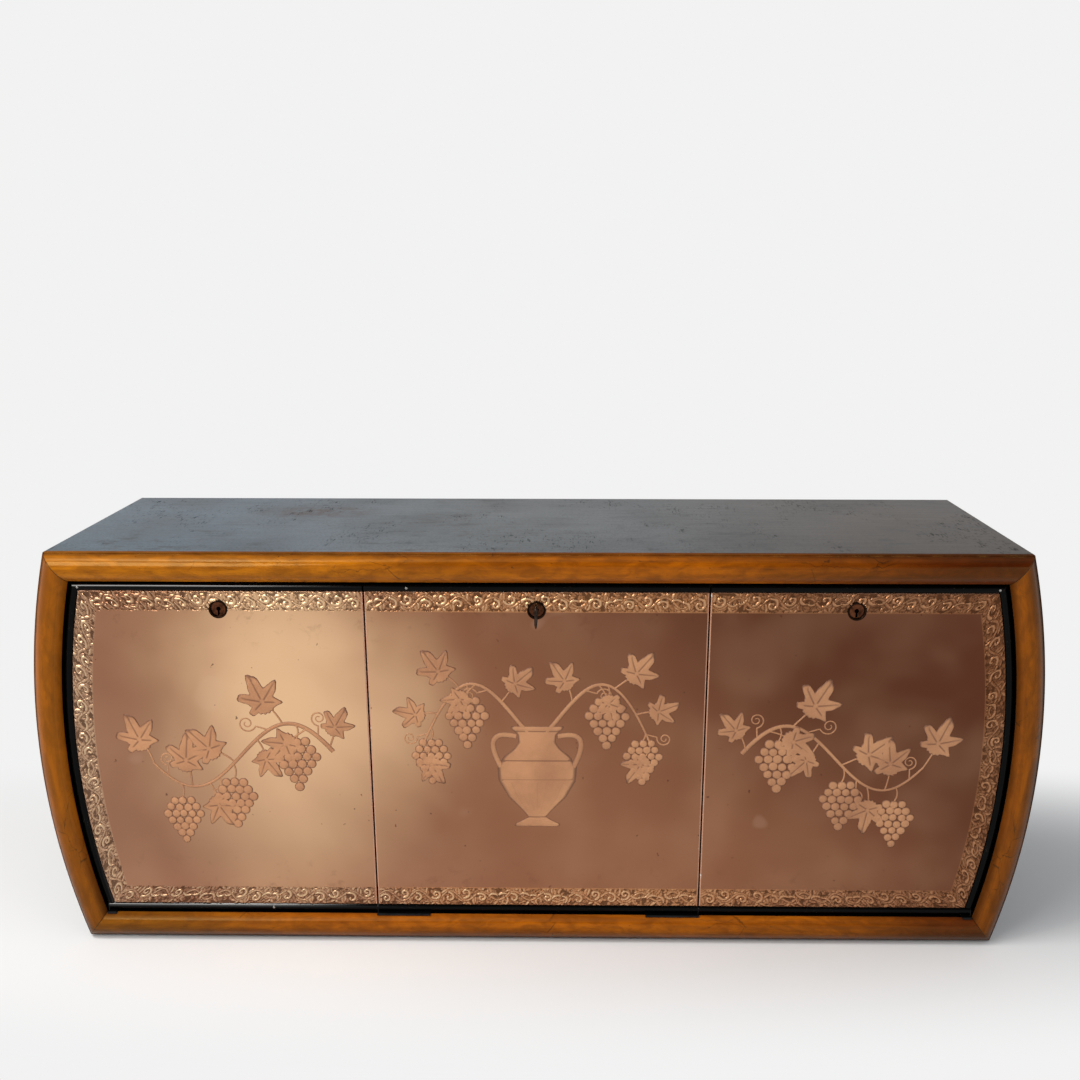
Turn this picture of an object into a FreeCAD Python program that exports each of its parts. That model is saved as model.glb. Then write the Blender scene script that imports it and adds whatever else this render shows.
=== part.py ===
import FreeCAD, Part
import math
import os
from collections import namedtuple

from FreeCAD import Vector

# A low bar cabinet with bowed sides and three mirrored flaps that fall forward.
# Millimetres. X to the right, Y to the back, Z up; origin at the middle of the underside.

# Case
WIDTH = 1500.0
HEIGHT = 620.0
CASE_DEPTH = 390.0
SIDE_BOW = 42.5
BOARD = 18.0
BACK_THICK = 10.0
PARTITION_THICK = 18.0
HOUSING_DEPTH = 5.0
GLUE_GAP = 0.2

# Front frame: a cushion moulding between an outer fillet and an inner arris
FRAME_LIP = 24.0
FRAME_LAP = 3.0
CROWN_RISE = 14.0
ARRIS_RISE = 13.0
FILLET_WIDTH = 2.5
QUIRK_DEPTH = 2.0
CROWN_FLATS = 12

# Flaps
CENTRE_WIDTH = 500.0
JOINT_GAP = 2.5
FLAP_GAP = 3.0
PANEL_THICK = 16.0
PANEL_ROUND = 4.0
PANE_THICK = 5.0
PANE_SETBACK = 16.0
BEAD_WIDTH = 12.0
BEAD_BASE = 1.0
BEAD_TONGUE = 5.0
BEAD_FLATS = 8
STOP_GAP = 0.5

# Pivot brackets and pins
PIN_RADIUS = 2.0
PIN_FIT = 0.05
PIN_REACH = 20.0
PIN_END_ROOM = 2.0
UPRIGHT_CLEAR = 0.5
UPRIGHT_RADIUS = 5.0
FOOT_CLEAR = 0.6
FOOT_BACK_REACH = 14.0
FOOT_LIP_REACH = 4.3
FOOT_LIP_THICK = 1.5
FOOT_LIP_DROP = 1.0
JOINT_FOOT_LENGTH = 83.0
OUTER_FOOT_LENGTH = 14.0
OUTER_BRACKET_CLEAR = 1.5
RELIEF_ROOM = 1.5

# Quadrant stays and their keepers
OPEN_ANGLE = 90.0
STAY_RADIUS = 150.0
STAY_WIDTH = 6.0
STAY_THICK = 4.0
STAY_CLEAR = 3.0
STAY_FOOT_WIDTH = 22.0
STAY_FOOT_HEIGHT = 44.0
STAY_FOOT_THICK = 2.5
STAY_TAIL = 1.5
STOP_LENGTH = 5.0
STOP_PROUD = 1.5
STOP_CLEAR = 0.3
KEEPER_SPAN = 18.0
KEEPER_LENGTH = 8.0
KEEPER_WALL = 3.0
KEEPER_GAP = 0.8
KEEPER_SLOT_CLEAR = 0.4
TAIL_ROOM = 1.2
TAIL_SLOT_LENGTH = 22.0

# Locks, escutcheons and the key
KEY_DROP = 84.0
DISC_RADIUS = 12.7
DISC_CLEAR = 0.3
DISC_THICK = 2.0
KEYHOLE_RADIUS = 3.2
KEYHOLE_SLOT = 2.9
KEYHOLE_DROP = 9.5
LOCK_WIDTH = 40.0
LOCK_DEPTH = 14.0
LOCK_PLATE = 1.5
LOCK_WALL = 3.0
LOCK_TOP_DROP = 2.0
BOLT_THICK = 4.0
BOLT_INSET = 3.5
BOLT_HALF = 12.0
BOLT_HEAD_HALF = 7.0
BOLT_RIM = 4.0
BOLT_CLEAR = 0.4
BOLT_THROW = 10.0
STRIKE_WIDTH = 40.0
STRIKE_HEIGHT = 18.0
STRIKE_THICK = 1.5
KEY_SHANK = 2.5
KEY_NOSE = 1.6
KEY_NOSE_FIT = 0.05
KEY_BIT_REACH = 8.0
KEY_BIT_THICK = 2.2
KEY_BIT_ROOM = 1.0
KEY_REACH = 40.0
KEY_BOW_LENGTH = 22.0
KEY_BOW_HEIGHT = 38.0
KEY_BOW_THICK = 4.4
KEY_BOW_RIM = 4.5

# Shelves
SHELF_UNDERSIDE = 345.0
SHELF_THICK = 6.0
SHELF_SETBACK = 45.0
SHELF_CLEAR = 1.5
SHELF_PIN_SIZE = 6.0
SHELF_PIN_FIT = 0.02
SHELF_PIN_SEAT = 7.0
SHELF_PIN_PROUD = 10.0
SHELF_PIN_INSET = 45.0

# Working allowances of the modelling itself: degrees past the corners, and a distance that counts as none
SWEEP_SPARE = 10.0
SLOT_SPARE = 1.0
NO_DISTANCE = 0.001

# Contour of the front: straight top and bottom, arcs at the sides
ARC_RADIUS = ((HEIGHT / 2) ** 2 + SIDE_BOW ** 2) / (2 * SIDE_BOW)
ARC_X = WIDTH / 2 - ARC_RADIUS
MID_Z = HEIGHT / 2

# Insets of the contour, from the outside in
FRAME_FACE = BOARD + FRAME_LIP
FLAP_INSET = FRAME_FACE + FLAP_GAP
PANE_INSET = FLAP_INSET + BEAD_WIDTH
MITRE_REACH = SIDE_BOW + PANE_INSET

# Depths, from the back of the frame forward
CASE_FRONT = -CASE_DEPTH / 2
CASE_BACK = CASE_DEPTH / 2
PANEL_BACK = CASE_FRONT - FRAME_LAP
PANEL_FRONT = PANEL_BACK - PANEL_THICK
PANE_FRONT = PANEL_FRONT - PANE_THICK
CROWN_Y = PANE_FRONT - PANE_SETBACK
ARRIS_Y = CROWN_Y + ARRIS_RISE
QUIRK_Y = CROWN_Y + CROWN_RISE
FILLET_Y = QUIRK_Y + QUIRK_DEPTH
BACK_PANEL_Y = CASE_BACK - BACK_THICK

# The flaps turn about the middle of their bottom bead
PIVOT_Y = PANEL_FRONT - BEAD_BASE
PIVOT_Z = FLAP_INSET + BEAD_WIDTH / 2
PIVOT = Vector(0, PIVOT_Y, PIVOT_Z)
JOINT_X = CENTRE_WIDTH / 2
UPRIGHT_THICK = JOINT_GAP - 2 * UPRIGHT_CLEAR

# Stay angles, in degrees back from upright
STAY_FOOT_BACK = PANEL_BACK - PIVOT_Y + STAY_FOOT_THICK
STAY_START = math.degrees(math.asin((STAY_FOOT_BACK - STAY_FOOT_THICK / 2) / STAY_RADIUS))
KEEPER_INNER = STAY_RADIUS - KEEPER_SPAN / 2
KEEPER_NEAR = math.degrees(math.asin((STAY_FOOT_BACK + KEEPER_GAP) / KEEPER_INNER))
KEEPER_FAR = KEEPER_NEAR + math.degrees(KEEPER_LENGTH / STAY_RADIUS)
STOP_START = OPEN_ANGLE + KEEPER_FAR + math.degrees(STOP_CLEAR / STAY_RADIUS)
STOP_END = STOP_START + math.degrees(STOP_LENGTH / STAY_RADIUS)
TAIL_ANGLE = STOP_END + math.degrees(STAY_TAIL / STAY_RADIUS)
TAIL_LOW = PIVOT_Z + (STAY_RADIUS + STAY_WIDTH / 2) * math.cos(math.radians(TAIL_ANGLE))

# Lock levels
KEY_Z = HEIGHT - KEY_DROP
LOCK_TOP = HEIGHT - FLAP_INSET - LOCK_TOP_DROP
LOCK_BACK = PANEL_BACK + LOCK_DEPTH
BOLT_FRONT = PANEL_BACK + LOCK_PLATE + BOLT_INSET
BOLT_BACK = BOLT_FRONT + BOLT_THICK
WINDOW_HALF = KEY_BIT_REACH + KEY_BIT_ROOM
BOLT_SHOULDER = KEY_Z + WINDOW_HALF + BOLT_RIM
BOLT_FOOT = KEY_Z - WINDOW_HALF - BOLT_THROW - BOLT_RIM
LOCK_BOTTOM = BOLT_FOOT - BOLT_CLEAR - LOCK_WALL

# Shelf levels
SHELF_FRONT = PANEL_BACK + SHELF_SETBACK
SHELF_BACK = BACK_PANEL_Y - SHELF_CLEAR
SHELF_PIN_Z = SHELF_UNDERSIDE - SHELF_PIN_SIZE / 2

Flap = namedtuple("Flap", "name x0 x1 lock_x side")
Stay = namedtuple("Stay", "name face_x inward")


def box(x0, x1, y0, y1, z0, z1):
    """Box between two corners, given in any order along X."""
    low = Vector(min(x0, x1), y0, z0)
    return Part.makeBox(abs(x1 - x0), y1 - y0, z1 - z0, low)


def along_y(radius, x, z, y0, y1):
    """Round bar along Y."""
    return Part.makeCylinder(radius, y1 - y0, Vector(x, y0, z), Vector(0, 1, 0))


def along_x(radius, x0, x1, y, z):
    """Round bar along X."""
    return Part.makeCylinder(radius, abs(x1 - x0), Vector(min(x0, x1), y, z), Vector(1, 0, 0))


def prism(points, direction):
    """Straight-sided outline pushed along a direction."""
    return Part.Face(Part.makePolygon(points + points[:1])).extrude(direction)


def corner(inset, right, up):
    """Corner of the contour drawn in by inset; right and up are -1 or 1."""
    half = MID_Z - inset
    reach = ARC_X + math.sqrt((ARC_RADIUS - inset) ** 2 - half ** 2)
    return Vector(right * reach, 0, MID_Z + up * half)


def bowed_x(inset, z):
    """Half width of the contour drawn in by inset, at height z."""
    return ARC_X + math.sqrt((ARC_RADIUS - inset) ** 2 - (z - MID_Z) ** 2)


def contour(inset, y0, y1):
    """Solid that fills the contour drawn in by inset, from y0 back to y1."""
    swell = WIDTH / 2 - inset
    low_left, low_right = corner(inset, -1, -1), corner(inset, 1, -1)
    top_left, top_right = corner(inset, -1, 1), corner(inset, 1, 1)
    right_arc = Part.Arc(low_right, Vector(swell, 0, MID_Z), top_right).toShape()
    left_arc = Part.Arc(top_left, Vector(-swell, 0, MID_Z), low_left).toShape()
    bottom = Part.makeLine(low_left, low_right)
    top = Part.makeLine(top_right, top_left)
    face = Part.Face(Part.Wire([bottom, right_arc, top, left_arc]))
    face.translate(Vector(0, y0, 0))
    return face.extrude(Vector(0, y1 - y0, 0))


def mitre_point(inset, right, up):
    """Point on the straight mitre line through a corner of the frame."""
    outer = corner(0, right, up)
    inner = corner(FRAME_FACE, right, up)
    point = outer + (inner - outer) * (inset / FRAME_FACE)
    return Vector(point.x, CROWN_Y, point.z)


def mitre_zone(first, second):
    """Everything between the mitre lines of two neighbouring corners."""
    points = [
        mitre_point(-MITRE_REACH, *first),
        mitre_point(-MITRE_REACH, *second),
        mitre_point(MITRE_REACH, *second),
        mitre_point(MITRE_REACH, *first),
    ]
    return prism(points, Vector(0, CASE_BACK - CROWN_Y, 0))


ZONES = {
    "top": mitre_zone((-1, 1), (1, 1)),
    "bottom": mitre_zone((-1, -1), (1, -1)),
    "left": mitre_zone((-1, 1), (-1, -1)),
    "right": mitre_zone((1, 1), (1, -1)),
}


def run(section, edge):
    """Moulding with the given section along one edge of the contour, cut to its mitres."""
    if edge == "top":
        face = section(lambda inset, y: Vector(-WIDTH / 2, y, HEIGHT - inset))
        solid = face.extrude(Vector(WIDTH, 0, 0))
    elif edge == "bottom":
        face = section(lambda inset, y: Vector(-WIDTH / 2, y, inset))
        solid = face.extrude(Vector(WIDTH, 0, 0))
    else:
        side = 1 if edge == "right" else -1
        centre = Vector(side * ARC_X, 0, MID_Z)
        face = section(lambda inset, y: Vector(side * (WIDTH / 2 - inset), y, MID_Z))
        sweep = 2 * math.degrees(math.asin(MID_Z / ARC_RADIUS)) + SWEEP_SPARE
        face.rotate(centre, Vector(0, 1, 0), -sweep / 2)
        solid = face.revolve(centre, Vector(0, 1, 0), sweep)
    return solid.common(ZONES[edge])


def rounded(first, middle, last, flats):
    """Points of a moulding's round through three points, drawn as equal narrow flats."""
    return Part.Arc(first, middle, last).toShape().discretize(flats + 1)


def frame_section(place):
    """Cushion moulding: flat sides, outer fillet and quirk, round crown, inner arris."""
    quirk = place(FILLET_WIDTH, QUIRK_Y)
    crown = place((FILLET_WIDTH + FRAME_FACE) / 2, CROWN_Y)
    arris = place(FRAME_FACE, ARRIS_Y)
    points = rounded(quirk, crown, arris, CROWN_FLATS) + [
        place(FRAME_FACE, CASE_FRONT),
        place(0, CASE_FRONT),
        place(0, FILLET_Y),
        place(FILLET_WIDTH, FILLET_Y),
    ]
    return Part.Face(Part.makePolygon(points + points[:1]))


def bead_section(place):
    """Half-round bead with a tongue let into the edge of the flap's panel."""
    outer = place(FLAP_INSET, PIVOT_Y)
    nose = place((FLAP_INSET + PANE_INSET) / 2, PIVOT_Y - BEAD_WIDTH / 2)
    inner = place(PANE_INSET, PIVOT_Y)
    tongue_y = PANEL_FRONT + BEAD_TONGUE
    tongue = [place(PANE_INSET, tongue_y), place(FLAP_INSET, tongue_y)]
    points = rounded(outer, nose, inner, BEAD_FLATS) + tongue
    return Part.Face(Part.makePolygon(points + points[:1]))


def sector(r0, r1, x0, x1, start, end):
    """Part of a ring about the pivot axis, between two angles back from upright."""
    points = [
        Vector(x0, PIVOT_Y, PIVOT_Z + r0),
        Vector(x1, PIVOT_Y, PIVOT_Z + r0),
        Vector(x1, PIVOT_Y, PIVOT_Z + r1),
        Vector(x0, PIVOT_Y, PIVOT_Z + r1),
    ]
    face = Part.Face(Part.makePolygon(points + points[:1]))
    face.rotate(PIVOT, Vector(-1, 0, 0), start)
    return face.revolve(PIVOT, Vector(-1, 0, 0), end - start)


# The three flaps, and the four stays with the partition faces that they run along
FLAP_EDGE = JOINT_X + JOINT_GAP / 2
CENTRE_EDGE = JOINT_X - JOINT_GAP / 2
SIDE_LOCK_X = (FLAP_EDGE + corner(FLAP_INSET, 1, 1).x) / 2
FLAPS = [
    Flap("left", -WIDTH, -FLAP_EDGE, -SIDE_LOCK_X, "left"),
    Flap("centre", -CENTRE_EDGE, CENTRE_EDGE, 0.0, None),
    Flap("right", FLAP_EDGE, WIDTH, SIDE_LOCK_X, "right"),
]
OUTER_FACE = JOINT_X + PARTITION_THICK / 2
INNER_FACE = JOINT_X - PARTITION_THICK / 2
STAYS = [
    Stay("left", -OUTER_FACE, -1),
    Stay("centre_left", -INNER_FACE, 1),
    Stay("centre_right", INNER_FACE, -1),
    Stay("right", OUTER_FACE, 1),
]

# Where the pivot uprights stand: in the joints, and just inside the stiles
OUTER_UPRIGHT_X = corner(FRAME_FACE, 1, -1).x - OUTER_BRACKET_CLEAR - UPRIGHT_THICK / 2
RELIEF_X = OUTER_UPRIGHT_X - UPRIGHT_THICK / 2 - UPRIGHT_CLEAR
UPRIGHTS = [-OUTER_UPRIGHT_X, -JOINT_X, JOINT_X, OUTER_UPRIGHT_X]


def case_boards():
    """Four mitred boards; the bottom has slots for the stay tails, both have housings."""
    ring = contour(0, CASE_FRONT, CASE_BACK).cut(contour(BOARD, CASE_FRONT, CASE_BACK))
    boards = {edge: ring.common(zone) for edge, zone in ZONES.items()}
    for x in (-JOINT_X, JOINT_X):
        x0, x1 = x - PARTITION_THICK / 2, x + PARTITION_THICK / 2
        floor, ceiling = BOARD - HOUSING_DEPTH, HEIGHT - BOARD
        low = box(x0, x1, CASE_FRONT, BACK_PANEL_Y, floor, BOARD)
        high = box(x0, x1, CASE_FRONT, BACK_PANEL_Y, ceiling, ceiling + HOUSING_DEPTH)
        boards["bottom"] = boards["bottom"].cut(low)
        boards["top"] = boards["top"].cut(high)
    for stay in STAYS:
        room = STOP_PROUD + TAIL_ROOM
        x0 = stay.face_x + stay.inward * (STAY_CLEAR - room)
        x1 = stay.face_x + stay.inward * (STAY_CLEAR + STAY_THICK + room)
        y1 = PIVOT_Y + STAY_RADIUS + STAY_WIDTH
        slot = box(x0, x1, y1 - TAIL_SLOT_LENGTH, y1, TAIL_LOW - TAIL_ROOM, BOARD)
        boards["bottom"] = boards["bottom"].cut(slot)
    for name, inward in (("left", 1), ("right", -1)):
        face_x = -inward * bowed_x(BOARD, SHELF_PIN_Z)
        boards[name] = cut_pin_holes(boards[name], face_x, inward)
    return {
        "top_board": boards["top"],
        "bottom_board": boards["bottom"],
        "left_side": boards["left"],
        "right_side": boards["right"],
    }


def partition(x):
    """Upright housed in top and bottom, with a nose that the closed flaps meet."""
    x0, x1 = x - PARTITION_THICK / 2, x + PARTITION_THICK / 2
    low, high = BOARD - HOUSING_DEPTH, HEIGHT - BOARD + HOUSING_DEPTH
    body = box(x0, x1, CASE_FRONT, BACK_PANEL_Y, low, high)
    nose_low, nose_high = FRAME_FACE + GLUE_GAP, HEIGHT - FRAME_FACE - GLUE_GAP
    nose = box(x0, x1, PANEL_BACK + STOP_GAP, CASE_FRONT, nose_low, nose_high)
    solid = body.fuse(nose).removeSplitter()
    for face_x, inward in ((x0, -1), (x1, 1)):
        solid = cut_pin_holes(solid, face_x, inward)
    return solid


def shelf_pin_places():
    """Middle of each shelf pin's depth: near the front and near the back of the shelf."""
    return SHELF_FRONT + SHELF_PIN_INSET, SHELF_BACK - SHELF_PIN_INSET


def square_bar(size, x0, x1, y, z):
    """Square bar along X."""
    half = size / 2
    return box(x0, x1, y - half, y + half, z - half, z + half)


def cut_pin_holes(wall, face_x, inward):
    """Blind holes for two shelf pins, from a wall's inner face."""
    deep = face_x - inward * (SHELF_PIN_SEAT + SHELF_PIN_FIT)
    open_end = face_x + inward * SHELF_PIN_PROUD
    size = SHELF_PIN_SIZE + 2 * SHELF_PIN_FIT
    for y in shelf_pin_places():
        wall = wall.cut(square_bar(size, deep, open_end, y, SHELF_PIN_Z))
    return wall


def shelf_pins(faces):
    """Pins in two facing walls; faces holds each wall's inner face and its direction."""
    pins = []
    for face_x, inward in faces:
        deep = face_x - inward * SHELF_PIN_SEAT
        end = face_x + inward * SHELF_PIN_PROUD
        for y in shelf_pin_places():
            pins.append(square_bar(SHELF_PIN_SIZE, deep, end, y, SHELF_PIN_Z))
    return Part.makeCompound(pins)


def shelf(x0, x1):
    """Glass shelf between two walls; a bowed wall trims it by the contour."""
    top = SHELF_UNDERSIDE + SHELF_THICK
    blank = box(x0 + SHELF_CLEAR, x1 - SHELF_CLEAR, SHELF_FRONT, SHELF_BACK, SHELF_UNDERSIDE, top)
    return blank.common(contour(BOARD + SHELF_CLEAR, SHELF_FRONT, SHELF_BACK))


def flap_span(flap):
    """Slab as wide as one flap."""
    return box(flap.x0, flap.x1, CROWN_Y, CASE_BACK, 0, HEIGHT)


def pivot_cuts(flap):
    """What the brackets take out of a flap's bottom corners: pin bores and outer reliefs."""
    cuts = []
    radius = PIN_RADIUS + PIN_FIT
    reach = UPRIGHT_THICK / 2 + PIN_REACH + PIN_END_ROOM
    for x in UPRIGHTS:
        cuts.append(along_x(radius, x - reach, x + reach, PIVOT_Y, PIVOT_Z))
    if flap.side:
        way = 1 if flap.side == "right" else -1
        top = PIVOT_Z + UPRIGHT_RADIUS + RELIEF_ROOM
        cuts.append(box(way * RELIEF_X, way * WIDTH, CROWN_Y, CASE_FRONT, 0, top))
    return cuts


def panel(flap):
    """Wood leaf, rebated round the pane for the beads and bored for the lock."""
    step = PANEL_FRONT + BEAD_TONGUE
    front = contour(PANE_INSET, PANEL_FRONT, step)
    back = contour(FLAP_INSET, step, PANEL_BACK)
    low_edge = [e for e in back.Edges if is_low_back(e)]
    leaf = front.fuse(back.makeFillet(PANEL_ROUND, low_edge)).common(flap_span(flap))
    leaf = leaf.cut(key_slot(flap.lock_x, PANEL_FRONT, PANEL_BACK))
    return leaf.cut(pivot_cuts(flap)).removeSplitter()


def is_low_back(edge):
    """True for the straight edge along the foot of a leaf's back."""
    ends = [v.Point for v in edge.Vertexes]
    return all(p.isEqual(Vector(p.x, PANEL_BACK, FLAP_INSET), NO_DISTANCE) for p in ends)


def mirror_pane(flap):
    """Mirror pane with a round hole for the escutcheon."""
    pane = contour(PANE_INSET + GLUE_GAP, PANE_FRONT, PANEL_FRONT).common(flap_span(flap))
    return pane.cut(along_y(DISC_RADIUS + DISC_CLEAR, flap.lock_x, KEY_Z, PANE_FRONT, PANEL_FRONT))


def flap_bead(flap, edge):
    """One bead of a flap, bored and relieved where a pivot passes."""
    strip = run(bead_section, edge).common(flap_span(flap))
    if edge == "top":
        return strip
    return strip.cut(pivot_cuts(flap))


def keyhole(x, y0, y1):
    """Round hole with a slot below it."""
    half = KEYHOLE_SLOT / 2
    slot = box(x - half, x + half, y0, y1, KEY_Z - KEYHOLE_DROP, KEY_Z)
    return along_y(KEYHOLE_RADIUS, x, KEY_Z, y0, y1).fuse(slot)


def key_slot(x, y0, y1):
    """Plain slot behind the keyhole, as wide and as high as the keyhole."""
    low, high = KEY_Z - KEYHOLE_DROP, KEY_Z + KEYHOLE_RADIUS
    return box(x - KEYHOLE_RADIUS, x + KEYHOLE_RADIUS, y0, y1, low, high)


def escutcheon(flap):
    """Disc on the leaf at the bottom of the pane's hole, with the keyhole in it."""
    face = PANEL_FRONT - DISC_THICK
    disc = along_y(DISC_RADIUS, flap.lock_x, KEY_Z, face, PANEL_FRONT)
    return disc.cut(keyhole(flap.lock_x, face, PANEL_FRONT))


def lock_case(flap):
    """Hollow lock screwed to the back of the leaf, open at the top for the bolt."""
    x = flap.lock_x
    half = LOCK_WIDTH / 2
    case = box(x - half, x + half, PANEL_BACK, LOCK_BACK, LOCK_BOTTOM, LOCK_TOP)
    room = BOLT_HALF + BOLT_CLEAR
    inner_back = LOCK_BACK - LOCK_PLATE
    cavity = box(x - room, x + room, PANEL_BACK + LOCK_PLATE, inner_back,
                 LOCK_BOTTOM + LOCK_WALL, LOCK_TOP - LOCK_WALL)
    head = BOLT_HEAD_HALF + BOLT_CLEAR
    mouth = box(x - head, x + head, BOLT_FRONT - BOLT_CLEAR, BOLT_BACK + BOLT_CLEAR,
                LOCK_TOP - LOCK_WALL, LOCK_TOP)
    nose_hole = along_y(KEY_NOSE + KEY_NOSE_FIT, x, KEY_Z, inner_back, LOCK_BACK)
    return case.cut([cavity, mouth, key_slot(x, PANEL_BACK, PANEL_BACK + LOCK_PLATE), nose_hole])


def bolt(flap):
    """Flat bolt, drawn in; its window is clear of the key's bit through the whole throw."""
    x = flap.lock_x
    plate = box(x - BOLT_HALF, x + BOLT_HALF, BOLT_FRONT, BOLT_BACK, BOLT_FOOT, BOLT_SHOULDER)
    head = box(x - BOLT_HEAD_HALF, x + BOLT_HEAD_HALF, BOLT_FRONT, BOLT_BACK, BOLT_SHOULDER, LOCK_TOP)
    low, high = KEY_Z - WINDOW_HALF - BOLT_THROW, KEY_Z + WINDOW_HALF
    window = box(x - WINDOW_HALF, x + WINDOW_HALF, BOLT_FRONT, BOLT_BACK, low, high)
    return plate.fuse(head).removeSplitter().cut(window)


def strike(flap):
    """Plate on the back of the top rail, in front of the thrown bolt."""
    half = STRIKE_WIDTH / 2
    low = HEIGHT - FRAME_FACE + GLUE_GAP
    x = flap.lock_x
    return box(x - half, x + half, CASE_FRONT, CASE_FRONT + STRIKE_THICK, low, low + STRIKE_HEIGHT)


def bow_disc(radius, centre_y):
    """Upright oval disc in the YZ plane, round at its ends, for the key's bow."""
    rise = (KEY_BOW_HEIGHT - KEY_BOW_LENGTH) / 2

    def at(back, up):
        return Vector(-KEY_BOW_THICK / 2, centre_y + back, KEY_Z + up)

    top = Part.Arc(at(-radius, rise), at(0, rise + radius), at(radius, rise)).toShape()
    low = Part.Arc(at(radius, -rise), at(0, -rise - radius), at(-radius, -rise)).toShape()
    back_side = Part.makeLine(at(radius, rise), at(radius, -rise))
    front_side = Part.makeLine(at(-radius, -rise), at(-radius, rise))
    face = Part.Face(Part.Wire([top, back_side, low, front_side]))
    return face.extrude(Vector(KEY_BOW_THICK, 0, 0))


def key():
    """Key standing in the centre lock: oval bow, shank, bit and nose."""
    tip = PANE_FRONT - KEY_REACH
    bow_end = tip + KEY_BOW_LENGTH
    centre_y = (tip + bow_end) / 2
    radius = KEY_BOW_LENGTH / 2
    bow = bow_disc(radius, centre_y).cut(bow_disc(radius - KEY_BOW_RIM, centre_y))
    nose_step = LOCK_BACK - LOCK_PLATE - KEY_BIT_ROOM
    shank = along_y(KEY_SHANK, 0, KEY_Z, bow_end - KEY_BOW_RIM / 2, nose_step)
    nose = along_y(KEY_NOSE, 0, KEY_Z, nose_step, LOCK_BACK)
    half = KEY_BIT_THICK / 2
    bit_front = PANEL_BACK + LOCK_PLATE + KEY_BIT_ROOM
    bit = box(-half, half, bit_front, nose_step, KEY_Z - KEY_BIT_REACH, KEY_Z)
    return bow.fuse([shank, nose, bit]).removeSplitter()


def bracket(x, inward, length):
    """Pivot bracket: a foot on the rail with a turned-down lip, and an upright for the pin."""
    half = UPRIGHT_THICK / 2
    base, top = FRAME_FACE, FLAP_INSET - FOOT_CLEAR
    back, lip_front = PIVOT_Y + FOOT_BACK_REACH, ARRIS_Y - FOOT_LIP_REACH
    lip_back = lip_front + FOOT_LIP_THICK
    start = x - inward * half
    outline = [
        Vector(start, back, base),
        Vector(start, back, top),
        Vector(start, lip_front, top),
        Vector(start, lip_front, base - FOOT_LIP_DROP),
        Vector(start, lip_back, base - FOOT_LIP_DROP),
        Vector(start, lip_back, base),
    ]
    foot = prism(outline, Vector(inward * length, 0, 0))
    shoulder = UPRIGHT_RADIUS * math.tan(math.pi / 8)
    stem = [
        Vector(x - half, PIVOT_Y - UPRIGHT_RADIUS, base),
        Vector(x - half, PIVOT_Y - UPRIGHT_RADIUS, PIVOT_Z + shoulder),
        Vector(x - half, PIVOT_Y - shoulder, PIVOT_Z + UPRIGHT_RADIUS),
        Vector(x - half, PIVOT_Y + shoulder, PIVOT_Z + UPRIGHT_RADIUS),
        Vector(x - half, PIVOT_Y + UPRIGHT_RADIUS, PIVOT_Z + shoulder),
        Vector(x - half, PIVOT_Y + UPRIGHT_RADIUS, base),
    ]
    upright = prism(stem, Vector(UPRIGHT_THICK, 0, 0))
    hole = along_x(PIN_RADIUS, x - half, x + half, PIVOT_Y, PIVOT_Z)
    return foot.fuse(upright).removeSplitter().cut(hole)


def pivot_pins():
    """Pins through the uprights: both ways in a joint, inward only at the stiles."""
    pins = []
    half = UPRIGHT_THICK / 2
    for x in UPRIGHTS:
        left = x - half - (0 if x == UPRIGHTS[0] else PIN_REACH)
        right = x + half + (0 if x == UPRIGHTS[-1] else PIN_REACH)
        pins.append(along_x(PIN_RADIUS, left, right, PIVOT_Y, PIVOT_Z))
    return Part.makeCompound(pins)


def stay_bar(stay):
    """Quadrant stay: foot plate on the leaf, curved bar, stop block near the tail."""
    x0 = stay.face_x + stay.inward * STAY_CLEAR
    x1 = x0 + stay.inward * STAY_THICK
    half = STAY_WIDTH / 2
    bar = sector(STAY_RADIUS - half, STAY_RADIUS + half, x0, x1, STAY_START, TAIL_ANGLE)
    foot_z = PIVOT_Z + STAY_RADIUS * math.cos(math.radians(STAY_START)) - STAY_FOOT_HEIGHT / 2
    foot = box(x0, x0 + stay.inward * STAY_FOOT_WIDTH, PANEL_BACK, PANEL_BACK + STAY_FOOT_THICK,
               foot_z, foot_z + STAY_FOOT_HEIGHT)
    proud = stay.inward * STOP_PROUD
    stop = sector(STAY_RADIUS - half, STAY_RADIUS + half, x0 - proud, x1 + proud, STOP_START, STOP_END)
    return bar.fuse([foot, stop]).removeSplitter()


def keeper(stay):
    """Slotted guide on the partition that the stay runs through."""
    x1 = stay.face_x + stay.inward * (STAY_CLEAR + STAY_THICK + KEEPER_WALL)
    half = KEEPER_SPAN / 2
    block = sector(STAY_RADIUS - half, STAY_RADIUS + half, stay.face_x, x1, KEEPER_NEAR, KEEPER_FAR)
    room = STAY_WIDTH / 2 + KEEPER_SLOT_CLEAR
    s0 = stay.face_x + stay.inward * (STAY_CLEAR - KEEPER_SLOT_CLEAR)
    s1 = stay.face_x + stay.inward * (STAY_CLEAR + STAY_THICK + KEEPER_SLOT_CLEAR)
    start, end = KEEPER_NEAR - SLOT_SPARE, KEEPER_FAR + SLOT_SPARE
    slot = sector(STAY_RADIUS - room, STAY_RADIUS + room, s0, s1, start, end)
    return block.cut(slot)


def flap_nodes(flap):
    """All pieces that one flap carries, apart from its stays."""
    nodes = {
        "panel": panel(flap),
        "mirror": mirror_pane(flap),
        "top_bead": flap_bead(flap, "top"),
        "bottom_bead": flap_bead(flap, "bottom"),
        "escutcheon": escutcheon(flap),
        "lock_case": lock_case(flap),
        "bolt": bolt(flap),
        "strike": strike(flap),
    }
    if flap.side:
        nodes["outer_bead"] = flap_bead(flap, flap.side)
    return {flap.name + "_" + name: shape for name, shape in nodes.items()}


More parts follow.
